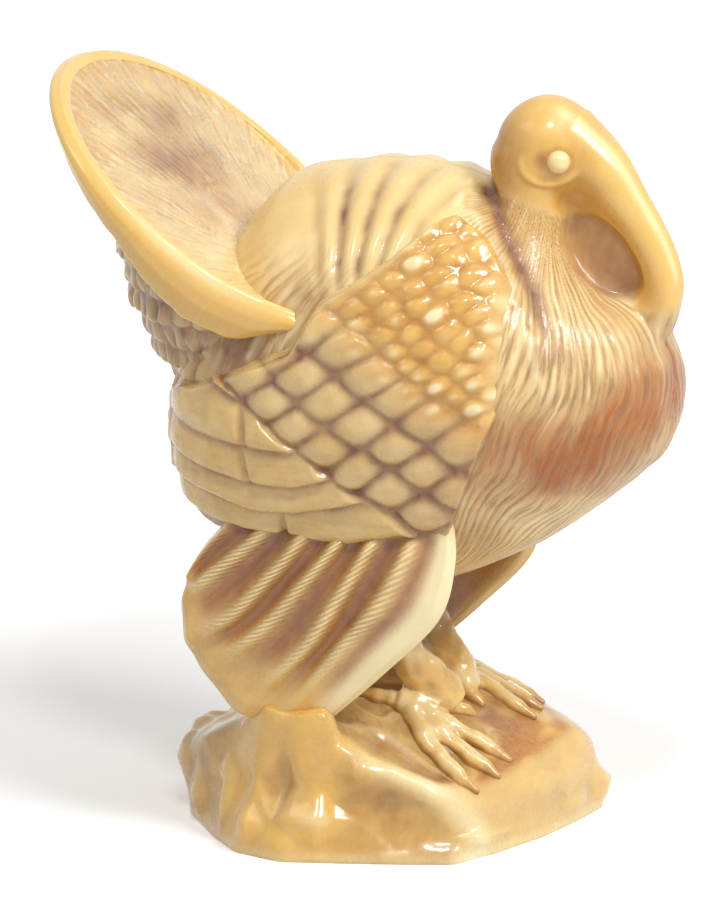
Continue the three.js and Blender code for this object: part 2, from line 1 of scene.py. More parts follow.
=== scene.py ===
import math
import bmesh
import bpy
import numpy as np
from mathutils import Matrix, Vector


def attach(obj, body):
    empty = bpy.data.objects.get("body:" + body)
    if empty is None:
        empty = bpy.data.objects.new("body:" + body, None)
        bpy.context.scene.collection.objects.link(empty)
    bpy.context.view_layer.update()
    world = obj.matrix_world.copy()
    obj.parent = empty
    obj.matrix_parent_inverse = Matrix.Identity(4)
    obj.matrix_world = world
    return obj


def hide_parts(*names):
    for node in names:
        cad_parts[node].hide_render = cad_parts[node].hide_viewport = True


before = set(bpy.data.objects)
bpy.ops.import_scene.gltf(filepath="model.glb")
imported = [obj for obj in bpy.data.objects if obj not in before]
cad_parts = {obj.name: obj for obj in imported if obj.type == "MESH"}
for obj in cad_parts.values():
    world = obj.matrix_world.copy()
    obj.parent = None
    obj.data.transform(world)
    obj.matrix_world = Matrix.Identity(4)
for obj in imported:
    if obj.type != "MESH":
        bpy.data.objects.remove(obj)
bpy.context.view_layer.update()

# Table and studio light: a plain white table, a soft key lamp high on the
# right, three weaker lamps, and the place from which the figure is seen.
# Lengths in this file are millimetres; mm turns them into scene metres.
mm = 0.001
view_azimuth = math.radians(21.5)
view_elevation = math.radians(14)
view_distance = 600
view_aim = Vector((-3.44, -1.36, 38))
view_lens = 240


def direction(azimuth, elevation):
    """Unit vector from the figure towards a place round it."""
    level = math.cos(elevation)
    return Vector((math.sin(azimuth) * level, -math.cos(azimuth) * level, math.sin(elevation)))


def placed(item, name, place, aim):
    """Puts a camera or lamp at a place and turns it towards its aim."""
    thing = bpy.data.objects.new(name, item)
    bpy.context.scene.collection.objects.link(thing)
    thing.location = place * mm
    thing.rotation_euler = (place - aim).to_track_quat("Z", "Y").to_euler()
    return thing


camera = bpy.data.cameras.new("camera")
camera.lens = view_lens
camera.clip_end = 20
view_place = view_aim + direction(view_azimuth, view_elevation) * view_distance
bpy.context.scene.camera = placed(camera, "camera", view_place, view_aim)
bpy.context.scene.view_settings.view_transform = "Standard"

lamp_aim = Vector((0, 0, 35))
# Name, azimuth and elevation in degrees, distance, width, power in watts.
lamps = [
    ("key_lamp", 70, 44, 420, 140, 1.0),
    ("window_lamp", 22, 58, 460, 60, 0.5),
    ("fill_lamp", -50, 50, 600, 240, 0.32),
    ("top_lamp", 150, 75, 500, 350, 0.25),
]
for lamp_name, lamp_azimuth, lamp_elevation, lamp_distance, lamp_width, lamp_power in lamps:
    lamp = bpy.data.lights.new(lamp_name, "AREA")
    lamp.shape = "DISK"
    lamp.size = lamp_width * mm
    lamp.energy = lamp_power
    lamp_way = direction(math.radians(lamp_azimuth), math.radians(lamp_elevation))
    placed(lamp, lamp_name, lamp_aim + lamp_way * lamp_distance, lamp_aim)


def shown_directly(tree):
    """1 for rays from the camera, and for those that a gloss or glass sends on."""
    path = tree.nodes.new("ShaderNodeLightPath")
    seen = path.outputs["Is Camera Ray"]
    for kind in ("Is Glossy Ray", "Is Transmission Ray"):
        either = tree.nodes.new("ShaderNodeMath")
        either.operation = "MAXIMUM"
        tree.links.new(seen, either.inputs[0])
        tree.links.new(path.outputs[kind], either.inputs[1])
        seen = either.outputs[0]
    return seen


world = bpy.data.worlds.new("studio")
world.use_nodes = True
bpy.context.scene.world = world
room = world.node_tree
room_light = room.nodes["Background"]
room_light.inputs["Color"].default_value = (1, 0.985, 0.96, 1)
room_light.inputs["Strength"].default_value = 0.3
white_light = room.nodes.new("ShaderNodeBackground")
white_light.inputs["Color"].default_value = (1, 1, 1, 1)
white_light.inputs["Strength"].default_value = 1
room_choice = room.nodes.new("ShaderNodeMixShader")
room.links.new(shown_directly(room), room_choice.inputs[0])
room.links.new(room_light.outputs[0], room_choice.inputs[1])
room.links.new(white_light.outputs[0], room_choice.inputs[2])
room.links.new(room_choice.outputs[0], room.nodes["World Output"].inputs["Surface"])

# The table glows less round the figure: a painted shade there, so that the
# shadow it takes shows.
table_reach = 3000
table_near = 60
table_far = 260
table_lift_near = 0.3
table_lift_far = 0.66
table_mesh = bpy.data.meshes.new("table")
table_corners = [(-1, -1), (1, -1), (1, 1), (-1, 1)]
table_mesh.from_pydata(
    [(x * table_reach * mm, y * table_reach * mm, 0) for x, y in table_corners], [], [(0, 1, 2, 3)])
table = bpy.data.objects.new("table", table_mesh)
bpy.context.scene.collection.objects.link(table)
table_finish = bpy.data.materials.new("white_table")
table_finish.use_nodes = True
table_tree = table_finish.node_tree
table_shader = table_tree.nodes["Principled BSDF"]
table_shader.inputs["Base Color"].default_value = (0.86, 0.86, 0.86, 1)
table_shader.inputs["Roughness"].default_value = 0.9
table_shader.inputs["Emission Color"].default_value = (1, 1, 1, 1)
table_place = table_tree.nodes.new("ShaderNodeTexCoord")
table_gap = table_tree.nodes.new("ShaderNodeVectorMath")
table_gap.operation = "LENGTH"
table_tree.links.new(table_place.outputs["Object"], table_gap.inputs[0])
table_lift = table_tree.nodes.new("ShaderNodeMapRange")
table_tree.links.new(table_gap.outputs["Value"], table_lift.inputs["Value"])
for socket, amount in (("From Min", table_near * mm), ("From Max", table_far * mm),
                       ("To Min", table_lift_near), ("To Max", table_lift_far)):
    table_lift.inputs[socket].default_value = amount
table_glow = table_tree.nodes.new("ShaderNodeMath")
table_glow.operation = "MULTIPLY"
table_tree.links.new(table_lift.outputs["Result"], table_glow.inputs[0])
table_tree.links.new(shown_directly(table_tree), table_glow.inputs[1])
table_tree.links.new(table_glow.outputs[0], table_shader.inputs["Emission Strength"])
table_mesh.materials.append(table_finish)

# Rock: an irregular hollow block of honey moulding with chipped facets and
# worn, rounded top edges, cast with the figure and closed below by a thin
# plate; painted shade and painted highlights lie on its sides and edges.
rock_length = 41.6
rock_rear = -23.0
rock_half_width = 19.5
rock_wall = 2.2
rock_crown = 1.5
# Corners of the foot in plan: share of the length, and share of the half width to the left.
rock_corner_shares = [
    (0.000, -0.02), (0.078, -0.40), (0.206, -0.74), (0.298, -0.93), (0.426, -1.00),
    (0.567, -0.91), (0.697, -0.82), (0.823, -0.72), (0.884, -0.46), (0.946, -0.11),
    (0.979, 0.20), (1.000, 0.50), (0.863, 0.74), (0.662, 0.88), (0.426, 0.95),
    (0.236, 0.78), (0.083, 0.44),
]
# The worn top is the least of a few slopes: level at the middle, rise per
# millimetre to the front, and rise per millimetre to the left.
rock_cap = 13.9
rock_slopes = [(16.5, -0.54, 0.38), (17.9, -0.43, -0.25), (18.9, 0.55, 0.0)]
rock_soft = 0.45
# A shoulder of the rock rises outside each leaf of flight feathers.
shoulder_level = 15.0
shoulder_rear = -12.6
shoulder_fore = -2.2
shoulder_out = 13.4
# The long sides lean in above the foot, most of all below the leaves.
waist_lean = 1.5
shoulder_lean = 1.5
# Chips and knobs on the sides: middle, reach each way, and how far each stands out.
rock_chips = [
    ((-1.9, 18.0, 4.0), (4.6, 9, 3.4), 1.55), ((-6.2, 17.0, 7.4), (3.4, 6, 5.2), -1.5),
    ((5.0, 15.6, 5.6), (6.5, 9, 4.2), -1.0), ((-13.4, 15.0, 6.4), (3.0, 5, 6.6), 1.3),
    ((-20.5, 5.5, 5.4), (4, 4.5, 4.2), 1.5), ((-17.8, 10.5, 3.0), (3, 4, 3.4), 1.4),
    ((-21.5, 1.0, 7.6), (3, 3.4, 3), 1.4), ((18.0, 2.0, 5.6), (4, 4.4, 3.4), 1.2),
    ((14.6, 12.0, 2.2), (5, 6, 3.0), 1.2), ((18.8, 9.8, 3.4), (5, 5, 5.0), 1.1),
    ((1.4, 17.6, 8.8), (4.4, 6, 2.4), 1.0), ((-9.4, 18.0, 3.0), (2.6, 6, 3.4), 0.8),
]
# A blunt ridge runs down each long side to the front corner of the foot.
rock_ridge = [(3.0, 10.6), (6.0, 8.9), (10.2, 5.7), (12.2, 2.9), (12.8, -1.0)]
ridge_height = 0.9
ridge_width = 1.3
# The hollow from below: pull in from the outline and level.
rock_hollow_steps = [(rock_wall, 0), (rock_wall, 3), (2 * rock_wall, 4), (14, 4.5)]
# Rounds of evening out: all over the cast form, and along the worn front edge.
rock_even_rounds = 2
worn_edge_rounds = 150
noise_cells = 32
noise_table = np.random.default_rng(11).uniform(-1, 1, (noise_cells,) * 3)


def drift(places, size):
    """Smooth seeded unevenness from -1 to 1, in lumps of a given size."""
    spot = np.asarray(places) / size
    cell = np.floor(spot).astype(int)
    part = spot - cell
    part = part * part * (3 - 2 * part)
    total = np.zeros(len(spot))
    for corner in np.ndindex(2, 2, 2):
        share = np.where(corner, part, 1 - part).prod(axis=1)
        near = (cell + corner) % noise_cells
        total += share * noise_table[near[:, 0], near[:, 1], near[:, 2]]
    return total


def ease(value, start, end):
    """0 before start, 1 past end, smooth between; start may be the larger."""
    part = np.clip((np.asarray(value, float) - start) / (end - start), 0, 1)
    return part * part * (3 - 2 * part)


def side_gap(places, line):
    """How far each place lies from a line drawn on the side view."""
    ends = np.asarray(line, float)
    gap = np.full(len(places), 1e3)
    for start, step in zip(ends[:-1], np.diff(ends, axis=0)):
        part = np.clip((places[:, ::2] - start) @ step / (step @ step), 0, 1)
        gap = np.minimum(gap, np.linalg.norm(places[:, ::2] - start - part[:, None] * step, axis=1))
    return gap


def straight(rows, at):
    """Reads a table between its rows along straight lines."""
    table = np.asarray(rows, float)
    return np.array([np.interp(at, table[:, 0], column) for column in table[:, 1:].T])


def smoothed(rows, rounds):
    """Evens out a run of rows; its ends stay."""
    rows = np.array(rows, float)
    for _ in range(rounds):
        rows[1:-1] = (rows[:-2] + 2 * rows[1:-1] + rows[2:]) / 4
    return rows


def shell(rings):
    """Points and faces of a closed skin through rings, with a middle point at either end."""
    rings = np.asarray(rings, float)
    count, sides = rings.shape[:2]
    points = np.vstack([rings.reshape(-1, 3), rings[0].mean(0), rings[-1].mean(0)])
    index = np.arange(count * sides).reshape(count, sides)
    turned = np.roll(index, -1, axis=1)
    quads = np.stack([index[:-1], turned[:-1], turned[1:], index[1:]], axis=-1).reshape(-1, 4)
    ends = [(count * sides, b, a) for a, b in zip(index[0], turned[0])]
    ends += [(count * sides + 1, a, b) for a, b in zip(index[-1], turned[-1])]
    return points, quads.tolist() + ends


def piece_from(name, points, faces):
    """A smooth-shaded object made from points in millimetres, its faces turned out."""
    mesh = bpy.data.meshes.new(name)
    mesh.from_pydata((np.asarray(points) * mm).tolist(), [], faces)
    form = bmesh.new()
    form.from_mesh(mesh)
    bmesh.ops.recalc_face_normals(form, faces=form.faces)
    form.to_mesh(mesh)
    form.free()
    mesh.shade_smooth()
    thing = bpy.data.objects.new(name, mesh)
    bpy.context.scene.collection.objects.link(thing)
    return thing


def points_of(thing):
    """The places of an object's points, in millimetres."""
    flat = np.empty(len(thing.data.vertices) * 3, np.float32)
    thing.data.vertices.foreach_get("co", flat)
    return flat.reshape(-1, 3).astype(float) / mm


def normals_of(thing):
    """The way that each of an object's points faces."""
    flat = np.empty(len(thing.data.vertices) * 3, np.float32)
    thing.data.vertex_normals.foreach_get("vector", flat)
    return flat.reshape(-1, 3).astype(float)


def reshape(thing, points):
    """Moves an object's points to new places, in millimetres."""
    thing.data.vertices.foreach_set("co", (points * mm).astype(np.float32).ravel())
    thing.data.update()


def relax(thing, rounds, hold=None):
    """Evens out a skin; hold is 1 where its points stay."""
    pairs = np.empty(len(thing.data.edges) * 2, np.int32)
    thing.data.edges.foreach_get("vertices", pairs)
    start, end = pairs.reshape(-1, 2).T
    points = points_of(thing)
    give = np.full(len(points), 0.5) if hold is None else 0.5 * (1 - hold)
    loose = give > 0.01
    in_reach = loose[start] | loose[end]
    used, number = np.unique(np.concatenate([start[in_reach], end[in_reach]]), return_inverse=True)
    start, end = number.reshape(2, -1)
    count = len(used)
    links = np.bincount(start, minlength=count) + np.bincount(end, minlength=count)
    moved = points[used]
    give = np.where(loose, give, 0)[used, None]
    for _ in range(rounds):
        mean = np.stack([np.bincount(start, column[end], count) + np.bincount(end, column[start], count)
                         for column in moved.T], axis=1) / links[:, None]
        moved = moved + give * (mean - moved)
    points[used] = moved
    reshape(thing, points)


def painted(thing, **washes):
    """Keeps how much of each tint lies on every point; grain is a place along the strands."""
    count = len(thing.data.vertices)
    for name, amount in washes.items():
        if name == "grain":
            layer = thing.data.attributes.new(name, "FLOAT_VECTOR", "POINT")
            layer.data.foreach_set("vector", np.asarray(amount, np.float32).ravel())
        else:
            layer = thing.data.attributes.new(name, "FLOAT", "POINT")
            amount = np.clip(np.broadcast_to(amount, count), 0, 1)
            layer.data.foreach_set("value", amount.astype(np.float32))


def tint(red, green, blue):
    """A colour given as it looks on a screen, from 0 to 255."""
    shares = [value / 255 for value in (red, green, blue)]
    return tuple(s / 12.92 if s <= 0.04045 else ((s + 0.055) / 1.055) ** 2.4 for s in shares) + (1,)


# Tints of the washes; the brown, rust and pale ones lay painted shade and painted highlights as well as the
# moulding's own stains, rust and pale paint.
ivory_tint = tint(244, 217, 156)
honey_tint = tint(243, 198, 100)
ochre_tint = tint(214, 170, 94)
stain_tint = tint(134, 82, 52)
rust_and_shade_tint = tint(178, 97, 8)
pale_tint = tint(254, 240, 194)


def moulding(name, strand_width=0.35, strand_depth=0.0, mottle=0.35, gloss=0.22, coat=0.45):
    """Glossy, slightly clear moulding, tinted by the washes that each piece carries."""
    finish = bpy.data.materials.new(name)
    finish.use_nodes = True
    tree = finish.node_tree
    shader = tree.nodes["Principled BSDF"]

    def node(kind, **settings):
        made = tree.nodes.new(kind)
        for key, value in settings.items():
            setattr(made, key, value)
        return made

    def wash(layer):
        return node("ShaderNodeAttribute", attribute_name=layer).outputs["Fac"]

    def speckle(size, detail):
        made = node("ShaderNodeTexNoise")
        made.inputs["Scale"].default_value = 1 / (size * mm)
        made.inputs["Detail"].default_value = detail
        tree.links.new(coordinates, made.inputs["Vector"])
        return made.outputs["Fac"]

    def ranged(value, low, high, start=0.0, end=1.0):
        made = node("ShaderNodeMapRange")
        tree.links.new(value, made.inputs["Value"])
        for socket, amount in (("From Min", start), ("From Max", end), ("To Min", low), ("To Max", high)):
            made.inputs[socket].default_value = amount
        return made.outputs["Result"]

    def times(one, other):
        made = node("ShaderNodeMath", operation="MULTIPLY", use_clamp=True)
        tree.links.new(one, made.inputs[0])
        tree.links.new(other, made.inputs[1])
        return made.outputs[0]

    def laid_over(under, colour, amount):
        made = node("ShaderNodeMix", data_type="RGBA")
        tree.links.new(amount, made.inputs["Factor"])
        if isinstance(under, tuple):
            made.inputs["A"].default_value = under
        else:
            tree.links.new(under, made.inputs["A"])
        made.inputs["B"].default_value = colour
        return made.outputs["Result"]

    coordinates = node("ShaderNodeTexCoord").outputs["Object"]
    clouds = speckle(5.0, 3)
    blotches = speckle(1.6, 3)
    fine = speckle(0.45, 2)
    strands = node("ShaderNodeMapping")
    strands.inputs["Scale"].default_value = (0.12, 1, 1)
    grain = node("ShaderNodeAttribute", attribute_name="grain").outputs["Vector"]
    tree.links.new(grain, strands.inputs["Vector"])
    streaks = node("ShaderNodeTexNoise")
    streaks.inputs["Scale"].default_value = 1 / strand_width
    streaks.inputs["Detail"].default_value = 2
    tree.links.new(strands.outputs["Vector"], streaks.inputs["Vector"])
    streak = streaks.outputs["Fac"]

    # Washes over the ivory: the brown, rust and pale ones carry painted shade and painted highlights along
    # with real tints.
    colour = laid_over(ivory_tint, ochre_tint, ranged(clouds, 0, mottle, 0.35, 0.75))
    colour = laid_over(colour, honey_tint, times(wash("honey"), ranged(blotches, 0.8, 1.1, 0.3, 0.7)))
    colour = laid_over(colour, rust_and_shade_tint, times(wash("blush"), ranged(streak, 0.75, 1.15, 0.3, 0.7)))
    colour = laid_over(colour, stain_tint, times(wash("stain"), ranged(blotches, 0.65, 1.15, 0.3, 0.7)))
    if strand_depth:
        dark_streak = times(wash("strand"), ranged(streak, 0, 0.5, 0.5, 0.36))
        colour = laid_over(colour, stain_tint, dark_streak)
    colour = laid_over(colour, pale_tint, wash("pale"))
    tree.links.new(colour, shader.inputs["Base Color"])

    rough = node("ShaderNodeMath", operation="ADD")
    tree.links.new(ranged(fine, gloss - 0.03, gloss + 0.06, 0.3, 0.7), rough.inputs[0])
    tree.links.new(ranged(wash("stain"), 0, 0.14), rough.inputs[1])
    tree.links.new(rough.outputs[0], shader.inputs["Roughness"])
    shader.inputs["IOR"].default_value = 1.5
    shader.inputs["Subsurface Weight"].default_value = 0.25
    shader.inputs["Subsurface Radius"].default_value = (1, 0.55, 0.25)
    shader.inputs["Subsurface Scale"].default_value = 1.4 * mm
    shader.inputs["Coat Weight"].default_value = coat
    shader.inputs["Coat Roughness"].default_value = 0.07

    relief = node("ShaderNodeBump")
    relief.inputs["Distance"].default_value = 0.05 * mm
    relief.inputs["Strength"].default_value = 0.3
    tree.links.new(blotches, relief.inputs["Height"])
    if strand_depth:
        lines = node("ShaderNodeBump")
        lines.inputs["Distance"].default_value = strand_depth * mm
        lines.inputs["Strength"].default_value = 0.6
        raised = times(wash("strand"), streak)
        tree.links.new(raised, lines.inputs["Height"])
        tree.links.new(relief.outputs["Normal"], lines.inputs["Normal"])
        relief = lines
    tree.links.new(relief.outputs["Normal"], shader.inputs["Normal"])
    return finish


def rock_top(x, y):
    """Level of the rock's top at a place in plan."""
    levels = [level + fore * x + left * y for level, fore, left in rock_slopes]
    levels.append(rock_cap)
    top = -rock_soft * np.log(sum(np.exp(-level / rock_soft) for level in levels))
    out = np.abs(y)
    shoulder = ease(x, shoulder_rear - 1.4, shoulder_rear) * ease(x, shoulder_fore + 1.2, shoulder_fore)
    shoulder *= ease(out, shoulder_out - 0.8, shoulder_out + 0.6)
    return top + shoulder * np.maximum(shoulder_level - top, 0)


def spread_round(corners, count, soften):
    """Even points along a closed outline, its corners a little rounded."""
    corners = np.vstack([corners, corners[:1]])
    run = np.concatenate([[0], np.cumsum(np.linalg.norm(np.diff(corners, axis=0), axis=1))])
    at = np.linspace(0, run[-1], count, endpoint=False)
    line = np.stack([np.interp(at, run, corners[:, axis]) for axis in (0, 1)], axis=1)
    for _ in range(soften):
        line = (np.roll(line, 1, axis=0) + 2 * line + np.roll(line, -1, axis=0)) / 4
    return line


rock_sides = 340
rock_outline = spread_round(
    np.array(rock_corner_shares) * (rock_length, rock_half_width) + (rock_rear, 0), rock_sides, 2)
rock_reach = np.hypot(rock_outline[:, 0] - rock_crown, rock_outline[:, 1])


def rock_ring(shrink, height_share, level=None):
    """One ring of the rock: pulled in from its outline, at a share of the top's level."""
    x, y = rock_outline.T
    long_side = ease(np.abs(y), 9, 14)
    pulled = shrink + long_side * waist_lean * ease(height_share, 0.0, 0.5)
    shoulder = long_side * ease(x, -17, -12) * ease(x, 4, -2)
    pulled += shoulder * shoulder_lean * ease(height_share, 0.1, 0.95)
    keep = np.maximum((rock_reach - pulled) / rock_reach, 0)
    x = rock_crown + (rock_outline[:, 0] - rock_crown) * keep
    y = rock_outline[:, 1] * keep
    z = rock_top(x, y) * height_share if level is None else np.full(rock_sides, level)
    return np.stack([x, y, z], axis=1)


# Pull in from the outline and share of the top's level, from the foot over the edge.
rock_profile_shares = [
    (0.00, 0.0, 0.00), (0.34, 0.1, 0.88), (0.39, 0.5, 0.97), (0.44, 1.6, 1.00), (1.00, 17.0, 1.00),
]
rock_steps = np.concatenate([np.linspace(0, 0.44, 56), np.linspace(0.455, 1, 60)])
rock_rings = smoothed([rock_ring(*straight(rock_profile_shares, step)) for step in rock_steps], 3)
rock_hollow = [rock_ring(pull, 0, level) for pull, level in rock_hollow_steps]
rock = piece_from("rock_form", *shell(np.concatenate([rock_rings[::-1], rock_hollow])))
places = points_of(rock)
ring_step = np.concatenate([
    np.repeat(rock_steps[::-1], rock_sides), np.full(len(rock_hollow) * rock_sides, -1), [1, -1]])
rock_shown = ease(ring_step, -0.01, 0.03)
mirrored = places * (1, 0, 1) + (0, 1, 0) * np.abs(places)
relief = 0.4 * drift(places, 5.0) + 0.2 * drift(places, 2.2)
for middle, reach, height in rock_chips:
    steep = np.abs((mirrored - middle) / reach).sum(axis=1)
    relief += height * np.clip(1 - steep, 0, 1)
on_side = ease(ring_step, 0.47, 0.40)
chips = relief.copy()
ridge = np.exp(-(side_gap(places, rock_ridge) / ridge_width) ** 2) * ease(mirrored[:, 1], 8.5, 11) * on_side
relief += ridge_height * ridge
relief *= rock_shown * ease(places[:, 2], 0.2, 1.6)
roots = np.abs(drift(places * (0.45, 1, 0.3) + (0, 0, 9), 1.9))
top_inside = ease(ring_step, 0.45, 0.52)
relief += top_inside * (0.35 * (1 - ease(roots, 0, 0.3)) - 0.1) * ease(places[:, 0], 15, 10)
reshape(rock, places + normals_of(rock) * relief[:, None])
relax(rock, rock_even_rounds, 1 - rock_shown)
soft_edge = ease(places[:, 0], 8, 12) * ease(ring_step, 0.16, 0.26) * ease(ring_step, 0.7, 0.55)
relax(rock, worn_edge_rounds, 1 - soft_edge * rock_shown)
x, y, z = places.T
mauve = ease(ring_step, 0.42, 0.47) * ease(x, 15.5, 9) * ease(x, -14, -9)
# Painted shade at the rear end, on the flanks below the ridges and in the hollows round the chips; painted
# highlights on the front face, the knobs and the ridges.
rear_shade = ease(x, -11, -15)
front = ease(x, 10, 13)
painted_hollow_shade = ease(chips, 0.0, -0.7) + 0.6 * ease(chips, 0.35, 0.05) * ease(chips, -0.4, 0)
knobs = ease(chips, 0.6, 1.3)
flank_shade = ease(mirrored[:, 1], 9, 12) * ease(x, -3, 3) * ease(x, 13, 10.5) * (1 - np.clip(2 * ridge, 0, 1))
# The pale line along the top edge is a painted highlight.
top_edge_highlight = np.exp(-((ring_step - 0.41) / 0.035) ** 2) * ease(x, -2, 2) * ease(x, 12, 8)
toe_patch = ease(ring_step, 0.4, 0.46) * ease(x, 7, 10) * ease(drift(places, 2.6), -0.3, 0.4)
pale_knobs = knobs * ease(drift(places, 2.4), -0.6, 0.4)
painted(rock,
        stain=mauve * (0.56 + 0.3 * drift(places, 3.0)) + on_side * (
            0.25 * rear_shade + 0.36 * painted_hollow_shade + 0.24 * flank_shade + 0.12 * ease(drift(places, 5.5), 0, 0.7)),
        honey=0.95 - 0.35 * rear_shade - 0.5 * mauve,
        blush=0.75 * toe_patch + on_side * (0.1 * (1 - front) + 0.12 * front * ease(z, 2.0, 3.5)),
        pale=0.4 * top_edge_highlight + 0.55 * ridge + 0.3 * mauve * ease(roots, 0.12, 0)
        + on_side * (0.2 * front + 0.5 * pale_knobs + 0.3 * ease(z, 1.4, 0.4)),
        grain=places)
rock_finish = moulding("honey_rock_moulding", mottle=0.6)
rock.data.materials.append(rock_finish)
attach(rock, "root")
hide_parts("rock")

# Closing plate: a flat lid of the same moulding that shuts the hollow rock,
# let into the underside and level with it.
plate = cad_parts["closing_plate"]
plate.data.materials.clear()
plate.data.materials.append(rock_finish)

# Feet: stout lumpy legs, each with three long toes, a short one and a heel
# that grip the rock, moulded in one with a stub that goes down into it.
toe_radius = 1.2
toe_end_radius = 0.8
toe_sink_share = 1.05
sole_radius = 1.5
claw_share = 0.8
claw_thinning = 0.55
knuckle_count = 3
knuckle_swell = 0.16
limb_sides = 24
foot_grid = 0.2
foot_rounds = 4
# Down the leg: place forward, out and up, and radius.
leg_rows = [
    (0, 0.4, 4.6, 26.5, 2.4), (1, 0.8, 4.6, 22.5, 1.9), (2, 2.0, 4.4, 19.0, 1.9),
    (3, 3.2, 3.6, 16.8, 2.1), (4, 5.0, 2.6, 15.0, 2.2), (5, 7.0, 1.8, 13.0, 1.3),
]
# Each toe from the leg to the claw, as places in plan.
toe_lines = [
    [(3.2, 4.4), (6.2, 4.2), (9.8, 3.7), (13.4, 3.5)], [(3.2, 4.8), (6.5, 5.6), (9.8, 6.1), (13.2, 6.2)],
    [(3.0, 5.2), (5.5, 7.4), (8.8, 9.0), (12.2, 9.6)], [(4.0, 3.4), (5.4, 2.4), (6.5, 1.6), (8.8, 0.8)],
    [(2.4, 5.0), (1.0, 5.2), (-0.5, 5.6), (-2.5, 6.0)],
]
# The sole joins the near toes under the ankle, from its rear end to its front end in plan.
sole_line = [(1.8, 5.0), (5.4, 3.9)]
sole_rise = 0.3


def flow(rows, at):
    """Reads a table between its rows along a smooth curve, keyed by its first column."""
    table = np.asarray(rows, float)
    key, value = table[:, 0], table[:, 1:]
    slope = np.gradient(value, key, axis=0)
    at = np.clip(np.asarray(at, float), key[0], key[-1])
    row = np.clip(np.searchsorted(key, at, side="right") - 1, 0, len(key) - 2)
    step = (key[row + 1] - key[row])[..., None]
    part = (at - key[row])[..., None] / step
    rest = 1 - part
    start = value[row] * (1 + 2 * part) * rest ** 2 + slope[row] * step * part * rest ** 2
    end = value[row + 1] * (1 + 2 * rest) * part ** 2 - slope[row + 1] * step * rest * part ** 2
    return np.moveaxis(start + end, -1, 0)


def limb(centres, radii, sides):
    """Closed round limb along centres, with a radius at each."""
    centres = np.asarray(centres, float)
    along = np.gradient(centres, axis=0)
    along /= np.linalg.norm(along, axis=1)[:, None]
    across = np.cross((0, 1, 0), along)
    across /= np.linalg.norm(across, axis=1)[:, None]
    up = np.cross(along, across)
    turn = np.linspace(0, 2 * np.pi, sides, endpoint=False)[None, :, None]
    reach = np.asarray(radii)[:, None, None]
    return shell(centres[:, None] + reach * (np.cos(turn) * across[:, None] + np.sin(turn) * up[:, None]))


def joined(parts):
    """Points and faces of several closed forms as one."""
    points, faces = [], []
    for part_points, part_faces in parts:
        offset = sum(len(group) for group in points)
        points.append(part_points)
        faces += [[corner + offset for corner in face] for face in part_faces]
    return np.vstack(points), faces


def fused(name, parts, grid):
    """One even skin round several closed forms that run into each other."""
    rough = piece_from("rough_form", *joined(parts))
    skin = rough.modifiers.new("skin", "REMESH")
    skin.mode = "VOXEL"
    skin.voxel_size = grid * mm
    skin.use_smooth_shade = True
    graph = bpy.context.evaluated_depsgraph_get()
    mesh = bpy.data.meshes.new_from_object(rough.evaluated_get(graph))
    mesh.name = name
    old_mesh = rough.data
    bpy.data.objects.remove(rough)
    bpy.data.meshes.remove(old_mesh)
    thing = bpy.data.objects.new(name, mesh)
    bpy.context.scene.collection.objects.link(thing)
    return thing


foot_finish = moulding("honey_foot_moulding", mottle=0.5)
for side, side_name in ((-1, "right"), (1, "left")):
    leg_x, leg_out, leg_z, leg_radii = flow(leg_rows, np.linspace(0, 5, 40))
    parts = [limb(np.stack([leg_x, side * leg_out, leg_z], axis=1), leg_radii, 32)]
    claws = []
    for line in toe_lines:
        part = np.linspace(0, 1, 24)
        x, y = flow(np.column_stack([np.linspace(0, 1, len(line)), line]), part)
        y = side * y
        knuckles = knuckle_swell * np.cos(part * 2 * np.pi * knuckle_count) * (1 - part)
        radii = toe_radius + (toe_end_radius - toe_radius) * part + knuckles
        radii *= 1 - claw_thinning * ease(part, claw_share, 1)
        level = rock_top(x, y)
        toe = np.stack([x, y, level + radii * (1 - toe_sink_share)], axis=1)
        parts.append(limb(toe, radii, limb_sides))
        claws.append((x[-1], y[-1], level[-1]))
    x, y = np.linspace(*sole_line, 12).T
    y = side * y
    sole = np.stack([x, y, rock_top(x, y) + sole_rise], axis=1)
    parts.append(limb(sole, np.full(len(sole), sole_radius), limb_sides))
    foot = fused(side_name + "_foot_form", parts, foot_grid)
    relax(foot, foot_rounds)
    places = points_of(foot)
    x, y, z = places.T
    height = z - rock_top(x, y)
    on_leg = ease(height, 2.2, 4)
    lumps = 0.35 * on_leg * drift(places, 1.7) + 0.14 * drift(places, 1.0)
    reshape(foot, places + normals_of(foot) * lumps[:, None])
    claw_gap = np.min(np.linalg.norm(places[:, None] - np.array(claws)[None], axis=2), axis=1)
    # Painted shade low on the toes where they meet the rock; darker in the dips between the lumps and paler
    # on their tops.
    painted(foot,
            stain=0.4 * ease(z, 17, 21) + 0.25 * ease(lumps, 0.1, -0.2) + 0.5 * ease(height, 0.5, 0.1),
            honey=0.75 * ease(z, 20, 15),
            blush=0.3 * ease(claw_gap, 3.0, 1.0) + 0.12 * ease(height, 1.6, 0.6) + 0.15 * on_leg,
            pale=0.3 * ease(lumps, 0.1, 0.3)
            + 0.4 * ease(height, 0.5, 1.0) * ease(height, 2.6, 2.0) * ease(claw_gap, 1.5, 3),
            grain=places)
    foot.data.materials.append(foot_finish)
    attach(foot, "root")
    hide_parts(side_name + "_foot")

# Body: the hollow torso, neck, head and hanging snood, moulded as a right and
# a left half and joined at the mid-plane; hair-like feathers run down the neck
# and round the breast, and pleats cross the back.
torso_rear = -22.8
torso_length = 51.9
torso_bottom = 24.4
torso_height = 43.6
torso_half_width = 16.5
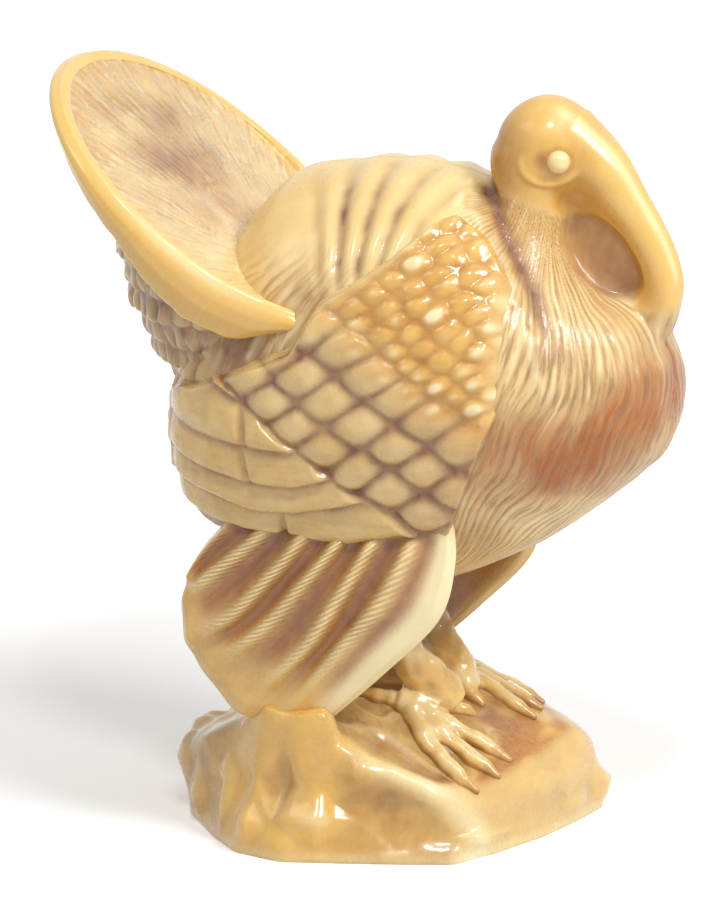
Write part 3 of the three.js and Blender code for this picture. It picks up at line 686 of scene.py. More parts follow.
# Shares of the torso's length, its lowest, highest and widest levels, and its half width.
torso_shares = [
    (0.000, 0.380, 0.382, 0.381, 0.000), (0.015, 0.266, 0.495, 0.381, 0.364),
    (0.053, 0.170, 0.633, 0.392, 0.606), (0.130, 0.083, 0.805, 0.415, 0.800),
    (0.225, 0.032, 0.943, 0.450, 0.921), (0.340, 0.005, 0.982, 0.495, 0.982),
    (0.454, 0.000, 1.000, 0.518, 1.000), (0.569, 0.037, 0.985, 0.541, 0.988),
    (0.664, 0.087, 0.943, 0.541, 0.945), (0.760, 0.151, 0.851, 0.530, 0.867),
    (0.855, 0.234, 0.748, 0.518, 0.715), (0.931, 0.312, 0.667, 0.507, 0.533),
    (0.979, 0.381, 0.610, 0.500, 0.333), (0.995, 0.440, 0.560, 0.500, 0.170),
    (1.000, 0.499, 0.501, 0.500, 0.000),
]
neck_foot = 44.0
neck_height = 29.5
neck_axis = 14.6
neck_reach = 8.5
neck_half_width = 11.5
# Shares of the neck's height, how far it is set forward, and its reach each way.
neck_shares = [
    (0.000, 0.635, 1.000, 1.000), (0.203, 0.706, 0.894, 0.922), (0.339, 0.659, 0.706, 0.765),
    (0.441, 0.306, 0.459, 0.643), (0.542, 0.094, 0.376, 0.557), (0.661, -0.020, 0.400, 0.487),
    (0.780, -0.050, 0.500, 0.426), (0.898, 0.050, 0.560, 0.400), (1.000, 0.188, 0.294, 0.243),
]
head_middle = np.array((15.6, 0, 69.7))
head_radii = np.array((5.2, 4.9, 5.4))
snood_root_x = 17.2
snood_root_z = 70.4
snood_reach = 10.4
snood_drop = 18.2
snood_radius = 4.6
# Down the snood: shares of its reach, of its drop and of its radius.
snood_shares = [
    (0, 0, 0, 0.9), (1, 0.33, 0.115, 0.68), (2, 0.612, 0.298, 0.52), (3, 0.858, 0.497, 0.45),
    (4, 0.985, 0.675, 0.43), (5, 0.985, 0.853, 0.40), (6, 0.93, 1, 0.31),
]
web_thickness = 2.4
# Corners of the flat web inside the snood, as shares of its reach and drop.
web_shares = [(-0.23, 0.39), (0.14, 0.29), (0.60, 0.50), (0.88, 0.76), (0.88, 0.97), (0.05, 0.97)]
# The pocket is a slanting oval with a rounded rim between snood and throat.
pocket_middle = np.array((21.75, 59.9))
pocket_slant = math.radians(-47)
slant_cosine = math.cos(pocket_slant)
slant_sine = math.sin(pocket_slant)
pocket_half_length = 5.4
pocket_half_width = 2.7
pocket_rim = 1.6
pocket_rear_rim = [(19.0, 61.4), (23.4, 56.8)]
# The fold down each side of the neck, seen from the side.
fold_line = [(9.6, 66.6), (10.4, 66.0), (11.8, 65.0), (13.8, 62.4), (15.8, 59.8), (17.1, 58.1),
             (18.0, 56.6), (19.6, 53.4), (20.3, 50.8)]
# Where the bead of the eye sits on the left; the right one mirrors it.
eye_place = np.array((18.0, 4.0, 69.4))
body_grid = 0.22
# Rounds of evening out: all over, in the dips beside the throat, and behind the pocket.
body_rounds = 10
dip_rounds = 360
rear_rim_rounds = 120


def mound(places, middle, reach):
    """1 at a middle, fading smoothly to nothing a little past the reach each way."""
    return np.exp(-(((places - middle) / reach) ** 2).sum(axis=-1))


def torso_point(length_share, turn_share, side, proud):
    """A place on the torso: share of its length, share of the half turn from the ridge down."""
    low, high, level, width = flow(torso_shares, length_share)
    level = torso_bottom + torso_height * level
    low = torso_bottom + torso_height * low - proud
    high = torso_bottom + torso_height * high + proud
    turn = np.pi * turn_share
    rise = np.where(np.cos(turn) > 0, high - level, level - low)
    x = torso_rear + torso_length * length_share + 0 * turn
    y = side * (torso_half_width * np.maximum(width, 0) + proud) * np.sin(turn)
    return np.stack([x, y, level + rise * np.cos(turn)], axis=-1)


def over_torso(x, y, z):
    """How far a place lies above the torso's upper side."""
    low, high, level, width = flow(torso_shares, (x - torso_rear) / torso_length)
    across = np.clip(y / (torso_half_width * np.maximum(width, 0.01)), -1, 1)
    return z - torso_bottom - torso_height * (level + (high - level) * np.sqrt(1 - across ** 2))


def short_feathers(across, row):
    """Height from 0 to 1 of short feathers that overlap in staggered rows."""
    across = across + 0.5 * np.floor(row)
    part = 2 * np.abs(across - np.round(across))
    return np.sqrt(np.clip(1 - part ** 2.5, 0, 1)) * np.sin(np.pi * (row % 1) ** 0.7) ** 0.6


def pocket_path(more, turns):
    """Points round the pocket's oval, grown by a length."""
    along = (pocket_half_length + more) * np.cos(turns)
    across = (pocket_half_width + more) * np.sin(turns)
    x = pocket_middle[0] + along * slant_cosine - across * slant_sine
    z = pocket_middle[1] + along * slant_sine + across * slant_cosine
    return np.stack([x, 0 * x, z], axis=1)


torso_steps = (1 - np.cos(np.linspace(0, np.pi, 90))) / 2
torso_turns = np.linspace(0, 2, 140, endpoint=False)
torso_rings = np.array([torso_point(step, torso_turns, 1, 0) for step in torso_steps[1:-1]])
neck_steps = np.linspace(0, 1, 40)
neck_shift, neck_fore, neck_side = flow(neck_shares, neck_steps)[:, :, None]
round_turns = np.linspace(0, 2 * np.pi, 90, endpoint=False)
neck_rings = np.stack([
    neck_axis + neck_reach * (neck_shift + neck_fore * np.cos(round_turns)),
    neck_half_width * neck_side * np.sin(round_turns),
    neck_foot + neck_height * neck_steps[:, None] + 0 * round_turns], axis=-1)
head_turns = np.linspace(0.02, np.pi - 0.02, 40)[:, None]
head_rings = head_middle + head_radii * np.stack([
    np.sin(head_turns) * np.cos(round_turns), np.sin(head_turns) * np.sin(round_turns),
    np.cos(head_turns) + 0 * round_turns], axis=-1)
snood_run, snood_fall, snood_thick = flow(snood_shares, np.linspace(0, 6, 60))
snood_line = np.stack([snood_root_x + snood_reach * snood_run, 0 * snood_run,
                       snood_root_z - snood_drop * snood_fall], axis=1)
web_edge = np.array([(snood_root_x + snood_reach * run, 0, snood_root_z - snood_drop * fall)
                     for run, fall in web_shares])
web_half = np.array((0, web_thickness / 2, 0))
pocket_floor = pocket_path(0.6 * pocket_rim, round_turns)
pocket_ring = pocket_path(pocket_rim, np.linspace(0, 2 * np.pi, 91))
body = fused("body_form", [
    shell(torso_rings), shell(neck_rings), shell(head_rings),
    limb(snood_line, snood_radius * snood_thick, 60), shell([web_edge - web_half, web_edge + web_half]),
    shell([pocket_floor - web_half, pocket_floor + web_half]),
    limb(pocket_ring, np.full(len(pocket_ring), pocket_rim + 0.3), limb_sides),
], body_grid)
relax(body, body_rounds)
places = points_of(body)
dip = mound(places * (1, 0, 1), (16.5, 0, 61.0), (5, 1, 5)) * ease(np.abs(places[:, 1]), 3.2, 4.8)
relax(body, dip_rounds, 1 - np.clip(2 * dip, 0, 1))
rear_rim = np.exp(-(side_gap(places, pocket_rear_rim) / 1.3) ** 2)
relax(body, rear_rim_rounds, 1 - rear_rim)
places = points_of(body)
facing = normals_of(body)
x, y, z = places.T
out = np.abs(y)

# Head, snood and pocket stay smooth; everything else carries feathers.
head_gap = np.linalg.norm((places - head_middle) / (head_radii + 0.8), axis=1)
snood_gap = np.min(np.linalg.norm(places[:, None, ::2] - snood_line[None, ::4, ::2], axis=2)
                   / (snood_radius * snood_thick[::4] + 0.7), axis=1)
above = over_torso(x, y, z)
on_head = ease(head_gap, 1.25, 0.98)
on_snood = ease(snood_gap, 1.25, 1.0) * ease(x, 16, 19) * ease(above, 0.6, 1.8) * ease(z, 53, 56)
cheek = np.clip(1.4 * mound(places * (1, 0, 1), (19.8, 0, 66.4), (2.4, 1, 2.2)), 0, 1)
on_head = np.maximum(on_head, cheek)
bare = np.maximum(on_head, on_snood)
pocket_along = (x - pocket_middle[0]) * slant_cosine + (z - pocket_middle[1]) * slant_sine
pocket_across = (z - pocket_middle[1]) * slant_cosine - (x - pocket_middle[0]) * slant_sine
pocket_reach = np.hypot(pocket_along / pocket_half_length, pocket_across / pocket_half_width)
in_pocket = ease(pocket_reach, 1.05, 0.8) * ease(out, 3.2, 2.4)

# Hair-like feathers: meridians round an axis from the throat down to the belly.
throat = np.array((15.0, 0, 66.0))
vent = np.array((0.0, 0, 25.0))
axis = (throat - vent) / np.linalg.norm(throat - vent)
fore = np.array((axis[2], 0, -axis[0]))
along = (places - vent) @ axis
swing = np.arctan2(out, (places - vent) @ fore)
strand_radius = 15.0
strand_pitch = 0.85
hair_depth = 0.24
neck_hair_depth = 0.17
strand_place = swing * strand_radius + 0.9 * drift(places, 7.0) + 0.3 * drift(places * (1, 1, 0.4), 2.0)
strand_share = np.abs(np.sin(np.pi * strand_place / strand_pitch))
tuft_spot = np.stack([along * 0.3, strand_place, 0 * along], axis=1)
tuft = np.clip(0.5 + 0.7 * drift(tuft_spot, 1.3), 0, 1)
hair = (1 - bare) * (1 - in_pocket) * ease(x, -17, -12) * np.maximum(ease(z, 62, 54), ease(x, 8, 11))
hair_relief = hair * (0.35 + 0.65 * tuft) * (strand_share ** 0.7 - 1)
hair_relief *= hair_depth + (neck_hair_depth - hair_depth) * ease(z, 50, 56)

# Pleats: a few soft folds spread over the back from each shoulder.
shoulder_x = 1.0
shoulder_y = 24.0
first_pleat = 66
pleat_turn = 11.0
pleat_rise = 0.16
pleat_cut = 0.14
fold_turn = np.degrees(np.arctan2(shoulder_y - out, shoulder_x - x))
fold_length = np.hypot(shoulder_y - out, shoulder_x - x)
on_back = ease(z, 55, 60) * ease(x, 11, 8.5) * (1 - bare)
pleat_place = (fold_turn - first_pleat) / pleat_turn
pleat_part = np.abs(pleat_place - np.round(pleat_place))
folds = on_back * ease(fold_turn, 62, 72) * ease(fold_turn, 116, 106) * ease(fold_length, 25.5, 20)
fold_groove = np.exp(-(pleat_part / 0.2) ** 2)
fold_relief = folds * (pleat_rise * np.cos(2 * np.pi * pleat_part + np.pi) - pleat_cut * fold_groove)

# The fold down the side of the neck, and the bumpy strip of feathers behind it.
crease_gap = side_gap(places, fold_line)
on_side = ease(np.abs(facing[:, 1]), 0.0, 0.25) * ease(out, 1.0, 2.5)
crease = np.exp(-(crease_gap / 0.75) ** 2) * on_side * ease(z, 50, 56)
behind_crease = ease(x - np.interp(z, *np.array(fold_line)[::-1, ::-1].T), 0.2, -0.8)
strip = np.exp(-((crease_gap - 1.4) / 0.9) ** 2) * on_side * behind_crease
strip_bumps = drift(places * (1, 1, 0.6), 1.2)

# Eyelids: a crescent below each bead, a hollow behind it and a fine rim round it.
from_bead = places[:, ::2] - eye_place[::2]
lid_reach = np.hypot((from_bead[:, 0] + 1.0) / 2.6, (from_bead[:, 1] + 0.3) / 2.0)
lower_lid = ease(from_bead[:, 1] + 0.25 * from_bead[:, 0], 0.3, -1.2)
by_eye = ease(out, 2.0, 3.0) * on_head
lids = np.exp(-((lid_reach - 1.0) / 0.17) ** 2) * by_eye * lower_lid
socket = np.exp(-((from_bead[:, 0] + 1.5) / 1.0) ** 2 - (from_bead[:, 1] / 1.0) ** 2) * by_eye
bead_rim = np.exp(-((np.hypot(*from_bead.T) - 1.3) / 0.35) ** 2) * by_eye

# Short feathers overlap down the rump between the wings.
rump_feather_length = 2.7
rump_feather_width = 2.4
rump_feather_depth = 0.45
rump = ease(x, -14, -17) * ease(z, 58, 54)
rump_row = z / rump_feather_length + 0.15 * drift(places, 4.0)
rump_form = short_feathers(y / rump_feather_width + 0.2 * drift(places, 2.5), rump_row)

# Heights and depths of what is carved: joint line, neck fold, bumps, eyelids and pocket.
seam_depth = 0.1
crease_depth = 0.55
bump_height = 0.25
lid_height = 0.28
socket_depth = 0.3
pocket_depth = 0.8
seam = np.exp(-(y / 0.22) ** 2) * (1 - 0.7 * bare)
relief = (hair_relief + 0.08 * drift(places, 3.0) * (1 - bare)) * (1 - in_pocket)
relief += rump * rump_feather_depth * (rump_form - 0.6) + fold_relief
relief += strip * bump_height * strip_bumps - seam_depth * seam - crease_depth * crease
relief += lid_height * lids - socket_depth * socket - pocket_depth * in_pocket
relief += 0.12 * bare * drift(places, 3.0)
reshape(body, places + facing * relief[:, None])

# Tints: brown in the grooves, rust on the breast, honey on the head and snood;
# painted shade under the snood, in the neck folds and at the rear of the head,
# and painted highlights along the snood, on the strands and low on the belly.
mirrored = np.stack([x, out, z], axis=1)
rust_level = 41.8 + 5.0 * ease(x, 22, 30) + 1.4 * ease(x, 20, 14)
rust_gap = np.abs(z - rust_level + 1.3 * drift(tuft_spot, 1.0) + 0.8 * drift(tuft_spot, 2.5)) / 5.2
rust = np.exp(-rust_gap ** 2.6) * ease(x, 7, 19) * (1.0 + 0.25 * drift(tuft_spot, 2.0))
warm_grooves = 0.45 * hair * (1 - strand_share) ** 1.5
warm_grooves += hair * ease(x, 9, 12) * (0.08 + 0.16 * ease(z, 58, 64))
# Painted shade on the breast under the snood's tip.
shade_under_snood = mound(mirrored, (25.5, 1, 52.5), (3.2, 4, 2.4)) * (1 - bare)
groove_stain = 0.34 * hair * tuft * (1 - strand_share) ** 1.5
pleat_stain = 1.3 * folds * fold_groove * (0.3 + 0.35 * ease(fold_length, 22, 14))
pleat_stain *= 0.7 + 0.5 * drift(places, 2.2)
pocket_stain = in_pocket * (0.4 + 0.25 * ease(pocket_along - 0.5 * pocket_across, -2, 4))
# Painted shade in the fold down each side of the neck.
crease_stain = np.exp(-(crease_gap / 0.55) ** 2) * on_side * ease(z, 50, 57)
pink = 0.42 * hair * np.clip(0.35 + drift(places, 4.0), 0, 1)
head_shade = on_head * (0.08 + 0.14 * ease(z, 74, 69) + 0.3 * ease(x, 16, 11))
head_shade += on_snood * (0.06 + 0.3 * ease(pocket_reach, 1.8, 1.2))
head_shade = np.maximum.reduce([head_shade, 0.9 * socket, 0.5 * bead_rim])
head_shade *= 1 - 0.6 * ease(lids, 0.2, 0.8)
rump_side = mound(mirrored, (-11.5, 14, 50.5), (5, 6, 3.4))
# The head darkens towards its rear and lower part: painted shade.
body_stain = np.maximum.reduce([
    groove_stain, pleat_stain, rump * (0.3 + 0.4 * (1 - rump_form)), pocket_stain, crease_stain,
    0.5 * shade_under_snood, pink * (1 - 0.8 * np.clip(rust, 0, 1)), 0.85 * rump_side,
    on_head * (0.08 + 0.3 * ease(x, 16.5, 11.5) * ease(z, 75, 71))])
body_honey = np.maximum.reduce([
    0.9 * on_head, 0.8 * on_snood, 0.5 * ease(z, 56, 66) * ease(x, 9, 12),
    0.3 * on_back * ease(z, 58, 64), 0.3 * ease(x, -8, -16), 0.3 * ease(z, 34, 28)])
# Painted highlights on the crests of the strands.
hair_pale = 0.5 * hair * strand_share ** 3 * ease(drift(tuft_spot + 9, 0.9), 0.15, 0.6)
hair_pale *= (1 - 0.9 * np.clip(rust, 0, 1)) * (1 - crease)
# A painted highlight in a band along each side of the snood and the front of the head.
snood_pale = np.maximum(on_snood, on_head * ease(x, 15, 18)) * ease(facing[:, 0], 0.15, 0.5)
snood_pale *= ease(facing[:, 2], -0.05, 0.15)
snood_pale *= 0.6 * np.exp(-((np.abs(facing[:, 1]) - 0.52) / 0.16) ** 2) * ease(z, 54, 60)
# The pale wash also lightens the lower belly: painted light.
painted(body,
        stain=body_stain, honey=body_honey, strand=hair,
        blush=np.maximum.reduce([
            rust * (1 - bare) * (1 - in_pocket), 0.5 * in_pocket, head_shade, warm_grooves,
            0.35 * rump_side]),
        pale=np.maximum.reduce([
            snood_pale, hair_pale, 0.45 * strip * ease(strip_bumps, -0.3, 0.5),
            0.2 * ease(z, 36, 30) * (1 - bare)]),
        grain=np.stack([along, strand_place, 0 * x], axis=1) * (1 - 0.9 * on_head[:, None]))
body_finish = moulding("ivory_body_moulding", strand_width=0.36, strand_depth=0.16, gloss=0.29, coat=0.3)


def halved(whole, name, side):
    """The part of a closed form on one side of the mid-plane, closed along the cut."""
    form = bmesh.new()
    form.from_mesh(whole.data)
    everything = form.verts[:] + form.edges[:] + form.faces[:]
    cut = bmesh.ops.bisect_plane(
        form, geom=everything, plane_co=(0, 0, 0), plane_no=(0, -side, 0), clear_outer=True)
    rim = [item for item in cut["geom_cut"] if isinstance(item, bmesh.types.BMEdge)]
    bmesh.ops.triangle_fill(form, edges=rim, use_beauty=True)
    bmesh.ops.recalc_face_normals(form, faces=form.faces)
    mesh = bpy.data.meshes.new(name)
    form.to_mesh(mesh)
    form.free()
    mesh.shade_smooth()
    thing = bpy.data.objects.new(name, mesh)
    bpy.context.scene.collection.objects.link(thing)
    return thing


for side, side_name in ((-1, "right"), (1, "left")):
    half = halved(body, side_name + "_body_form", side)
    half.data.materials.append(body_finish)
    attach(half, "root")
    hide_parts(side_name + "_body_half")
bpy.data.objects.remove(body)

# Wing shields: the folded wings, cast as scaled panels and pinned to the
# flanks; diamond scales in front, long overlapping quills behind them.
shield_proud = 1.05
edge_sink = 1.3
front_shift = 2.2
# Shares of the torso's length, and of the half turn to the panel's upper and lower edges.
shield_edge_shares = [
    (0.034, 0.361, 0.644), (0.061, 0.372, 0.728), (0.115, 0.403, 0.772), (0.225, 0.411, 0.709),
    (0.340, 0.394, 0.711), (0.389, 0.326, 0.722), (0.454, 0.300, 0.728), (0.521, 0.258, 0.744),
    (0.568, 0.205, 0.756), (0.618, 0.120, 0.763), (0.676, 0.128, 0.661), (0.724, 0.174, 0.567),
    (0.756, 0.225, 0.493), (0.776, 0.272, 0.403),
]
shield_steps = 230
shield_rows = 180
turn_reach = 66.0
# Levels of the quills' lower edges at places along the wing.
quill_lines = [
    (-20, 50.5, 48.8, 42.6, 39.4, 37.0, 34.6), (-16, 49.4, 47.8, 41.8, 38.7, 36.4, 33.6),
    (-10, 47.6, 45.6, 41.3, 37.8, 35.2, 32.7), (-5, 46.6, 45.3, 41.4, 37.9, 35.3, 32.2),
    (0, 48.0, 46.2, 42.6, 39.6, 36.5, 32.5), (5, 50.0, 48.0, 45.0, 42.0, 38.2, 33.8),
]
quill_relief = 1.1
# Where each quill is jointed along the wing; the fourth joint lies off the panel.
quill_joints = [-9.4, -9.7, -10.2, -30, -8.0]
# The diamond scales: one scale's middle, then the steps to its two neighbours.
scale_middle = np.array((-1.1, 42.2))
scale_step_up = np.array((3.87, 2.72))
scale_step_down = np.array((3.01, -1.99))
tile_relief = 0.85
tile_loose = 0.09
tile_soft = 0.19
# From this many scales up, smaller and looser ones cover the shoulder.
small_scale_start = 2.5
small_scale_share = 0.52
small_scale_relief = 0.5
small_loose = 0.24
small_soft = 0.26


def slab(outer, inner):
    """Points and faces of a closed plate between two grids of points."""
    rows, columns = outer.shape[:2]
    index = np.arange(rows * columns).reshape(rows, columns)
    quads = np.stack([index[:-1, :-1], index[1:, :-1], index[1:, 1:], index[:-1, 1:]], axis=-1).reshape(-1, 4)
    far = rows * columns
    border = np.concatenate([index[0, :-1], index[:-1, -1], index[-1, :0:-1], index[:0:-1, 0]])
    after = np.roll(border, -1)
    rim = np.stack([border, after, after + far, border + far], axis=-1)
    faces = np.vstack([quads, quads[:, ::-1] + far, rim])
    return np.vstack([outer.reshape(-1, 3), inner.reshape(-1, 3)]), faces.tolist()


def cells(across, along, loose, soft):
    """Rounded cells on an uneven lattice: 1 in a cell's middle and 0 between cells, and its number."""
    nearest = np.full(across.shape, 9.0)
    chance = np.zeros_like(nearest)
    gaps = []
    for step in np.ndindex(3, 3):
        cell_across = np.floor(across).astype(int) + step[0] - 1
        cell_along = np.floor(along).astype(int) + step[1] - 1
        row, column = cell_across % noise_cells, cell_along % noise_cells
        gap = np.hypot(across - cell_across - 0.5 - loose * noise_table[row, column, 3],
                       along - cell_along - 0.5 - loose * noise_table[row, column, 7])
        gaps.append(gap)
        closer = gap < nearest
        chance = np.where(closer, noise_table[row, column, 12], chance)
        nearest = np.where(closer, gap, nearest)
    crowd = sum(np.exp((nearest - gap) / soft) for gap in gaps) - 1
    return np.exp(-1.3 * crowd), chance


shield_finish = moulding("ivory_wing_moulding", strand_width=0.5, strand_depth=0.06, mottle=0.6)
shield_first, shield_last = shield_edge_shares[0][0], shield_edge_shares[-1][0]
shield_step = np.linspace(shield_first, shield_last, shield_steps)
shield_top, shield_bottom = (smoothed(edge, 10) for edge in straight(shield_edge_shares, shield_step))
shield_down = np.linspace(0, 1, shield_rows)
shield_turn = shield_top[:, None] + (shield_bottom - shield_top)[:, None] * shield_down
shield_len = np.repeat(shield_step[:, None], shield_rows, axis=1)
from_top = (shield_turn - shield_top[:, None]) * turn_reach
from_bottom = (shield_bottom[:, None] - shield_turn) * turn_reach
from_rear = (shield_len - shield_first) * torso_length
from_front = (shield_last - shield_len) * torso_length
for side, side_name in ((-1, "right"), (1, "left")):
    base = torso_point(shield_len, shield_turn, side, 0)
    x, y, z = np.moveaxis(base, -1, 0)
    flat = base.reshape(-1, 3)
    warp = 0.35 * drift(flat, 5.0).reshape(x.shape)
    warp_more = 0.35 * drift(flat + 40, 5.0).reshape(x.shape)
    specks = drift(flat, 1.1).reshape(x.shape)

    # Quills: each swells to its lower edge and steps down on to the next one.
    lines = straight(quill_lines, x) + 0.6 * warp
    count = sum(np.clip((high - z) / (high - low), 0, 1) for high, low in zip(lines[:-1], lines[1:]))
    quill = np.minimum(np.floor(count), len(quill_joints) - 1)
    quill_share = count - quill
    quill_lip = np.sqrt(np.clip(1 - np.clip((quill_share - 0.72) / 0.3, 0, 1) ** 2, 0, 1))
    quill_form = (0.35 + 0.65 * ease(quill_share, 0, 0.8)) * quill_lip
    quill_groove = np.exp(-(quill_share / 0.13) ** 2) + np.exp(-((1 - quill_share) / 0.07) ** 2)
    joint_x = np.choose(quill.astype(int), quill_joints)
    joint = np.exp(-((x - joint_x + 0.2 * (z - 40) + warp) / 0.45) ** 2)
    quill_form *= 1 - 0.6 * joint
    quill_groove = np.maximum(quill_groove, 0.6 * joint)

    # Scales: places on the diamond lattice, finer and looser towards the shoulder.
    steps = np.linalg.inv(np.stack([scale_step_up, scale_step_down], axis=1))
    offset = np.stack([x - scale_middle[0] + warp, z - scale_middle[1] + warp_more], axis=-1)
    up_count, down_count = np.moveaxis(offset @ steps.T, -1, 0)
    tile_form, tile_chance = cells(up_count + 0.5, down_count + 0.5, tile_loose, tile_soft)
    small_up = (up_count - small_scale_start) / small_scale_share
    small_down = (down_count + 0.5) / small_scale_share
    small_form, small_chance = cells(small_up, small_down, small_loose, small_soft)
    small = ease(up_count, small_scale_start - 0.04, small_scale_start + 0.04)
    tile_groove = 1 - ease(tile_form, 0.0, 0.95)
    small_groove = 1 - ease(small_form, 0.0, 0.7)
    tile_form *= 1 + 0.12 * tile_chance
    small_form *= 1 + 0.3 * small_chance
    scale_form = tile_form * tile_relief * (1 - small) + small_form * small_scale_relief * small
    scale_groove = tile_groove * (1 - small) + small_groove * small

    scaled = ease(up_count, -0.62, -0.5)
    form = scale_form * scaled + quill_form * quill_relief * (1 - scaled)
    groove = scale_groove * scaled + np.clip(quill_groove, 0, 1) * (1 - scaled)

    # Narrow pleats follow the wing's upper edge over the quills.
    top_pleats = ease(from_top, 3.6, 2.4) * ease(shield_len, 0.24, 0.32) * ease(shield_len, 0.66, 0.56)
    pleat_form = np.abs(np.sin(np.pi * from_top / 1.1)) ** 0.7
    form = form * (1 - top_pleats) + top_pleats * pleat_form * 0.3
    groove = groove * (1 - top_pleats) + top_pleats * (1 - pleat_form) * 0.7

    # The panel rises out of the body at its top and front, and stands off below.
    past_top = from_top - front_shift * ease(shield_len, 0.57, 0.65)
    rise = np.minimum(ease(past_top, 0, 2.6), ease(from_front, 0.7, 3.1))
    low_rim = np.sqrt(np.clip(1 - (1 - np.clip(from_bottom / 0.9, 0, 1)) ** 2, 0, 1))
    rear_rim = np.sqrt(np.clip(1 - (1 - np.clip(from_rear / 0.7, 0, 1)) ** 2, 0, 1))
    edge = np.minimum(low_rim, rear_rim)
    thin_rear = 0.4 + 0.6 * ease(from_rear, 0, 5)
    proud = -edge_sink * (1 - rise) + shield_proud * rise * (0.2 + 0.8 * edge * thin_rear)
    proud += (form - 0.25) * rise * edge + 0.08 * specks * rise
    outer = torso_point(shield_len, shield_turn, side, proud)
    inner = torso_point(shield_len, shield_turn, side, -edge_sink - 0.3)
    shield = piece_from(side_name + "_wing_form", *slab(outer, inner))

    shoulder = ease(up_count, small_scale_start - 0.9, small_scale_start + 0.5)
    back_edge = ease(from_top, 4.5, 1.5)
    front_edge = ease(from_front, 4.5, 1.5) * ease(z, 44, 50)
    orange = shoulder * (1 - back_edge) * (1 - 0.7 * front_edge)
    depth_tint = groove ** 1.1
    stain = depth_tint * (0.78 * scaled + 0.55 * (1 - scaled) - 0.68 * shoulder)
    stain += (0.17 + 0.07 * tile_chance + 0.06 * specks) * (1 - shoulder) + 0.1 * back_edge
    # Painted shade along the panel's lower edge, where it overhangs the leaf.
    stain = np.maximum(stain, 0.6 * ease(from_bottom, 1.0, 0.2))
    rear_edge = ease(from_rear, 1.3, 0.5)
    # The pale wash lays painted highlights on the small shoulder scales and near the front edge.
    washes = {
        "stain": stain,
        "honey": 0.12 + 0.85 * orange + 0.25 * (1 - scaled) + 0.3 * ease(from_rear, 4, 1) + 0.6 * rear_edge,
        "blush": orange * (0.32 + 0.25 * small_groove + 0.2 * specks) + 0.15 * depth_tint * (1 - shoulder)
        + 0.22 * ease(from_front, 13, 5) * (1 - shoulder) + 0.2 * ease(from_rear, 3, 1) + 0.25 * rear_edge,
        "strand": 0.2 * (1 - scaled),
        "pale": orange * 0.9 * ease(small_form, 0.6, 1.0) * ease(small_chance + specks, -0.8, 0.6)
        + 0.35 * front_edge * ease(small_form, 0.4, 0.9),
    }
    for name, amount in washes.items():
        washes[name] = np.concatenate([amount.ravel(), amount.ravel()])
    painted(shield, grain=points_of(shield) * (0.3, 1, 1), **washes)
    shield.data.materials.append(shield_finish)
    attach(shield, "root")
    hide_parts(side_name + "_wing_shield")

# Primaries: a drooped fan of flight feathers below each wing, cast as one thin
# ribbed leaf with hatched quills, brown channels and a plain honey margin.
leaf_outer = 14.6
leaf_camber = 1.2
leaf_thickness = 2.2
leaf_top = 34.0
leaf_height = 23.0
# Share of the height down from the top, and how far out the leaf stands there.
leaf_out_shares = [
    (0.000, 0.89), (0.080, 0.91), (0.260, 0.97), (0.465, 1.00), (0.591, 1.01), (0.783, 1.01), (1.000, 0.99),
]
# Each quill from its root under the wing to its tip, as places seen from the side.
leaf_quills = [
    [(-12.6, 35.5), (-14.0, 32.2), (-15.6, 30.2), (-16.6, 28.6), (-17.3, 27.0)],
    [(-7.6, 35.0), (-9.4, 31.8), (-12.2, 29.2), (-14.7, 27.1), (-17.8, 24.2)],
    [(-3.6, 35.0), (-5.3, 31.2), (-8.2, 27.6), (-12.2, 23.4), (-17.2, 20.4)],
    [(0.8, 35.0), (-1.3, 31.4), (-4.6, 27.2), (-8.8, 22.4), (-15.2, 17.4)],
    [(4.0, 35.0), (2.2, 31.4), (-0.6, 26.4), (-4.2, 20.9), (-11.8, 13.6)],
    [(7.4, 35.5), (6.2, 31.4), (3.6, 26.2), (-0.4, 21.2), (-7.4, 12.4)],
    [(9.9, 35.5), (10.6, 30.5), (9.3, 24.8), (3.7, 18.8), (-3.0, 12.6)],
]
leaf_across = 200
leaf_along = 150
quill_ridge = 1.1
channel_depth = 0.35
barb_pitch = 0.9
barb_slant = 4.2
barb_depth = 0.15

leaf_finish = moulding("stained_leaf_moulding", strand_width=0.3, strand_depth=0.05, mottle=0.4)
quill_keys = np.arange(len(leaf_quills))
last_quill = len(leaf_quills) - 1
row_keys = np.linspace(0, 1, 5)
leaf_u = np.linspace(0, last_quill, leaf_across)
leaf_v = np.linspace(0, 1, leaf_along)
quill_rows = np.array(leaf_quills, float)
drawn = np.stack([flow(np.column_stack([row_keys, row]), leaf_v).T for row in quill_rows])
leaf_plan = np.stack([
    flow(np.column_stack([quill_keys, drawn[:, row]]), leaf_u).T for row in range(leaf_along)], axis=1)
u_place = leaf_u[:, None] + 0 * leaf_v
v_place = leaf_v + 0 * leaf_u[:, None]
from_quill = u_place - np.round(u_place)
leaf_x, leaf_z = np.moveaxis(leaf_plan, -1, 0)
leaf_share = (leaf_top - leaf_z) / leaf_height
leaf_out = flow(leaf_out_shares, leaf_share)[0]
across_share = u_place / last_quill
camber = leaf_camber * (1 - (2 * across_share - 1) ** 2)
run_steps = np.linalg.norm(np.diff(leaf_plan, axis=1), axis=2)
leaf_run = np.concatenate([np.zeros((leaf_across, 1)), np.cumsum(run_steps, axis=1)], axis=1)
tips = ease(v_place, 0.78, 0.94)
smooth_margin = np.maximum(tips, ease(across_share, 0.90, 0.95))
ridge_form = np.exp(-(from_quill / 0.22) ** 2) * (1 - smooth_margin) * ease(across_share, -0.02, 0.06)
ridge_form *= ease(leaf_z, 33.6, 31.0)
channel = (1 - np.exp(-(from_quill / 0.29) ** 2)) * (1 - smooth_margin)
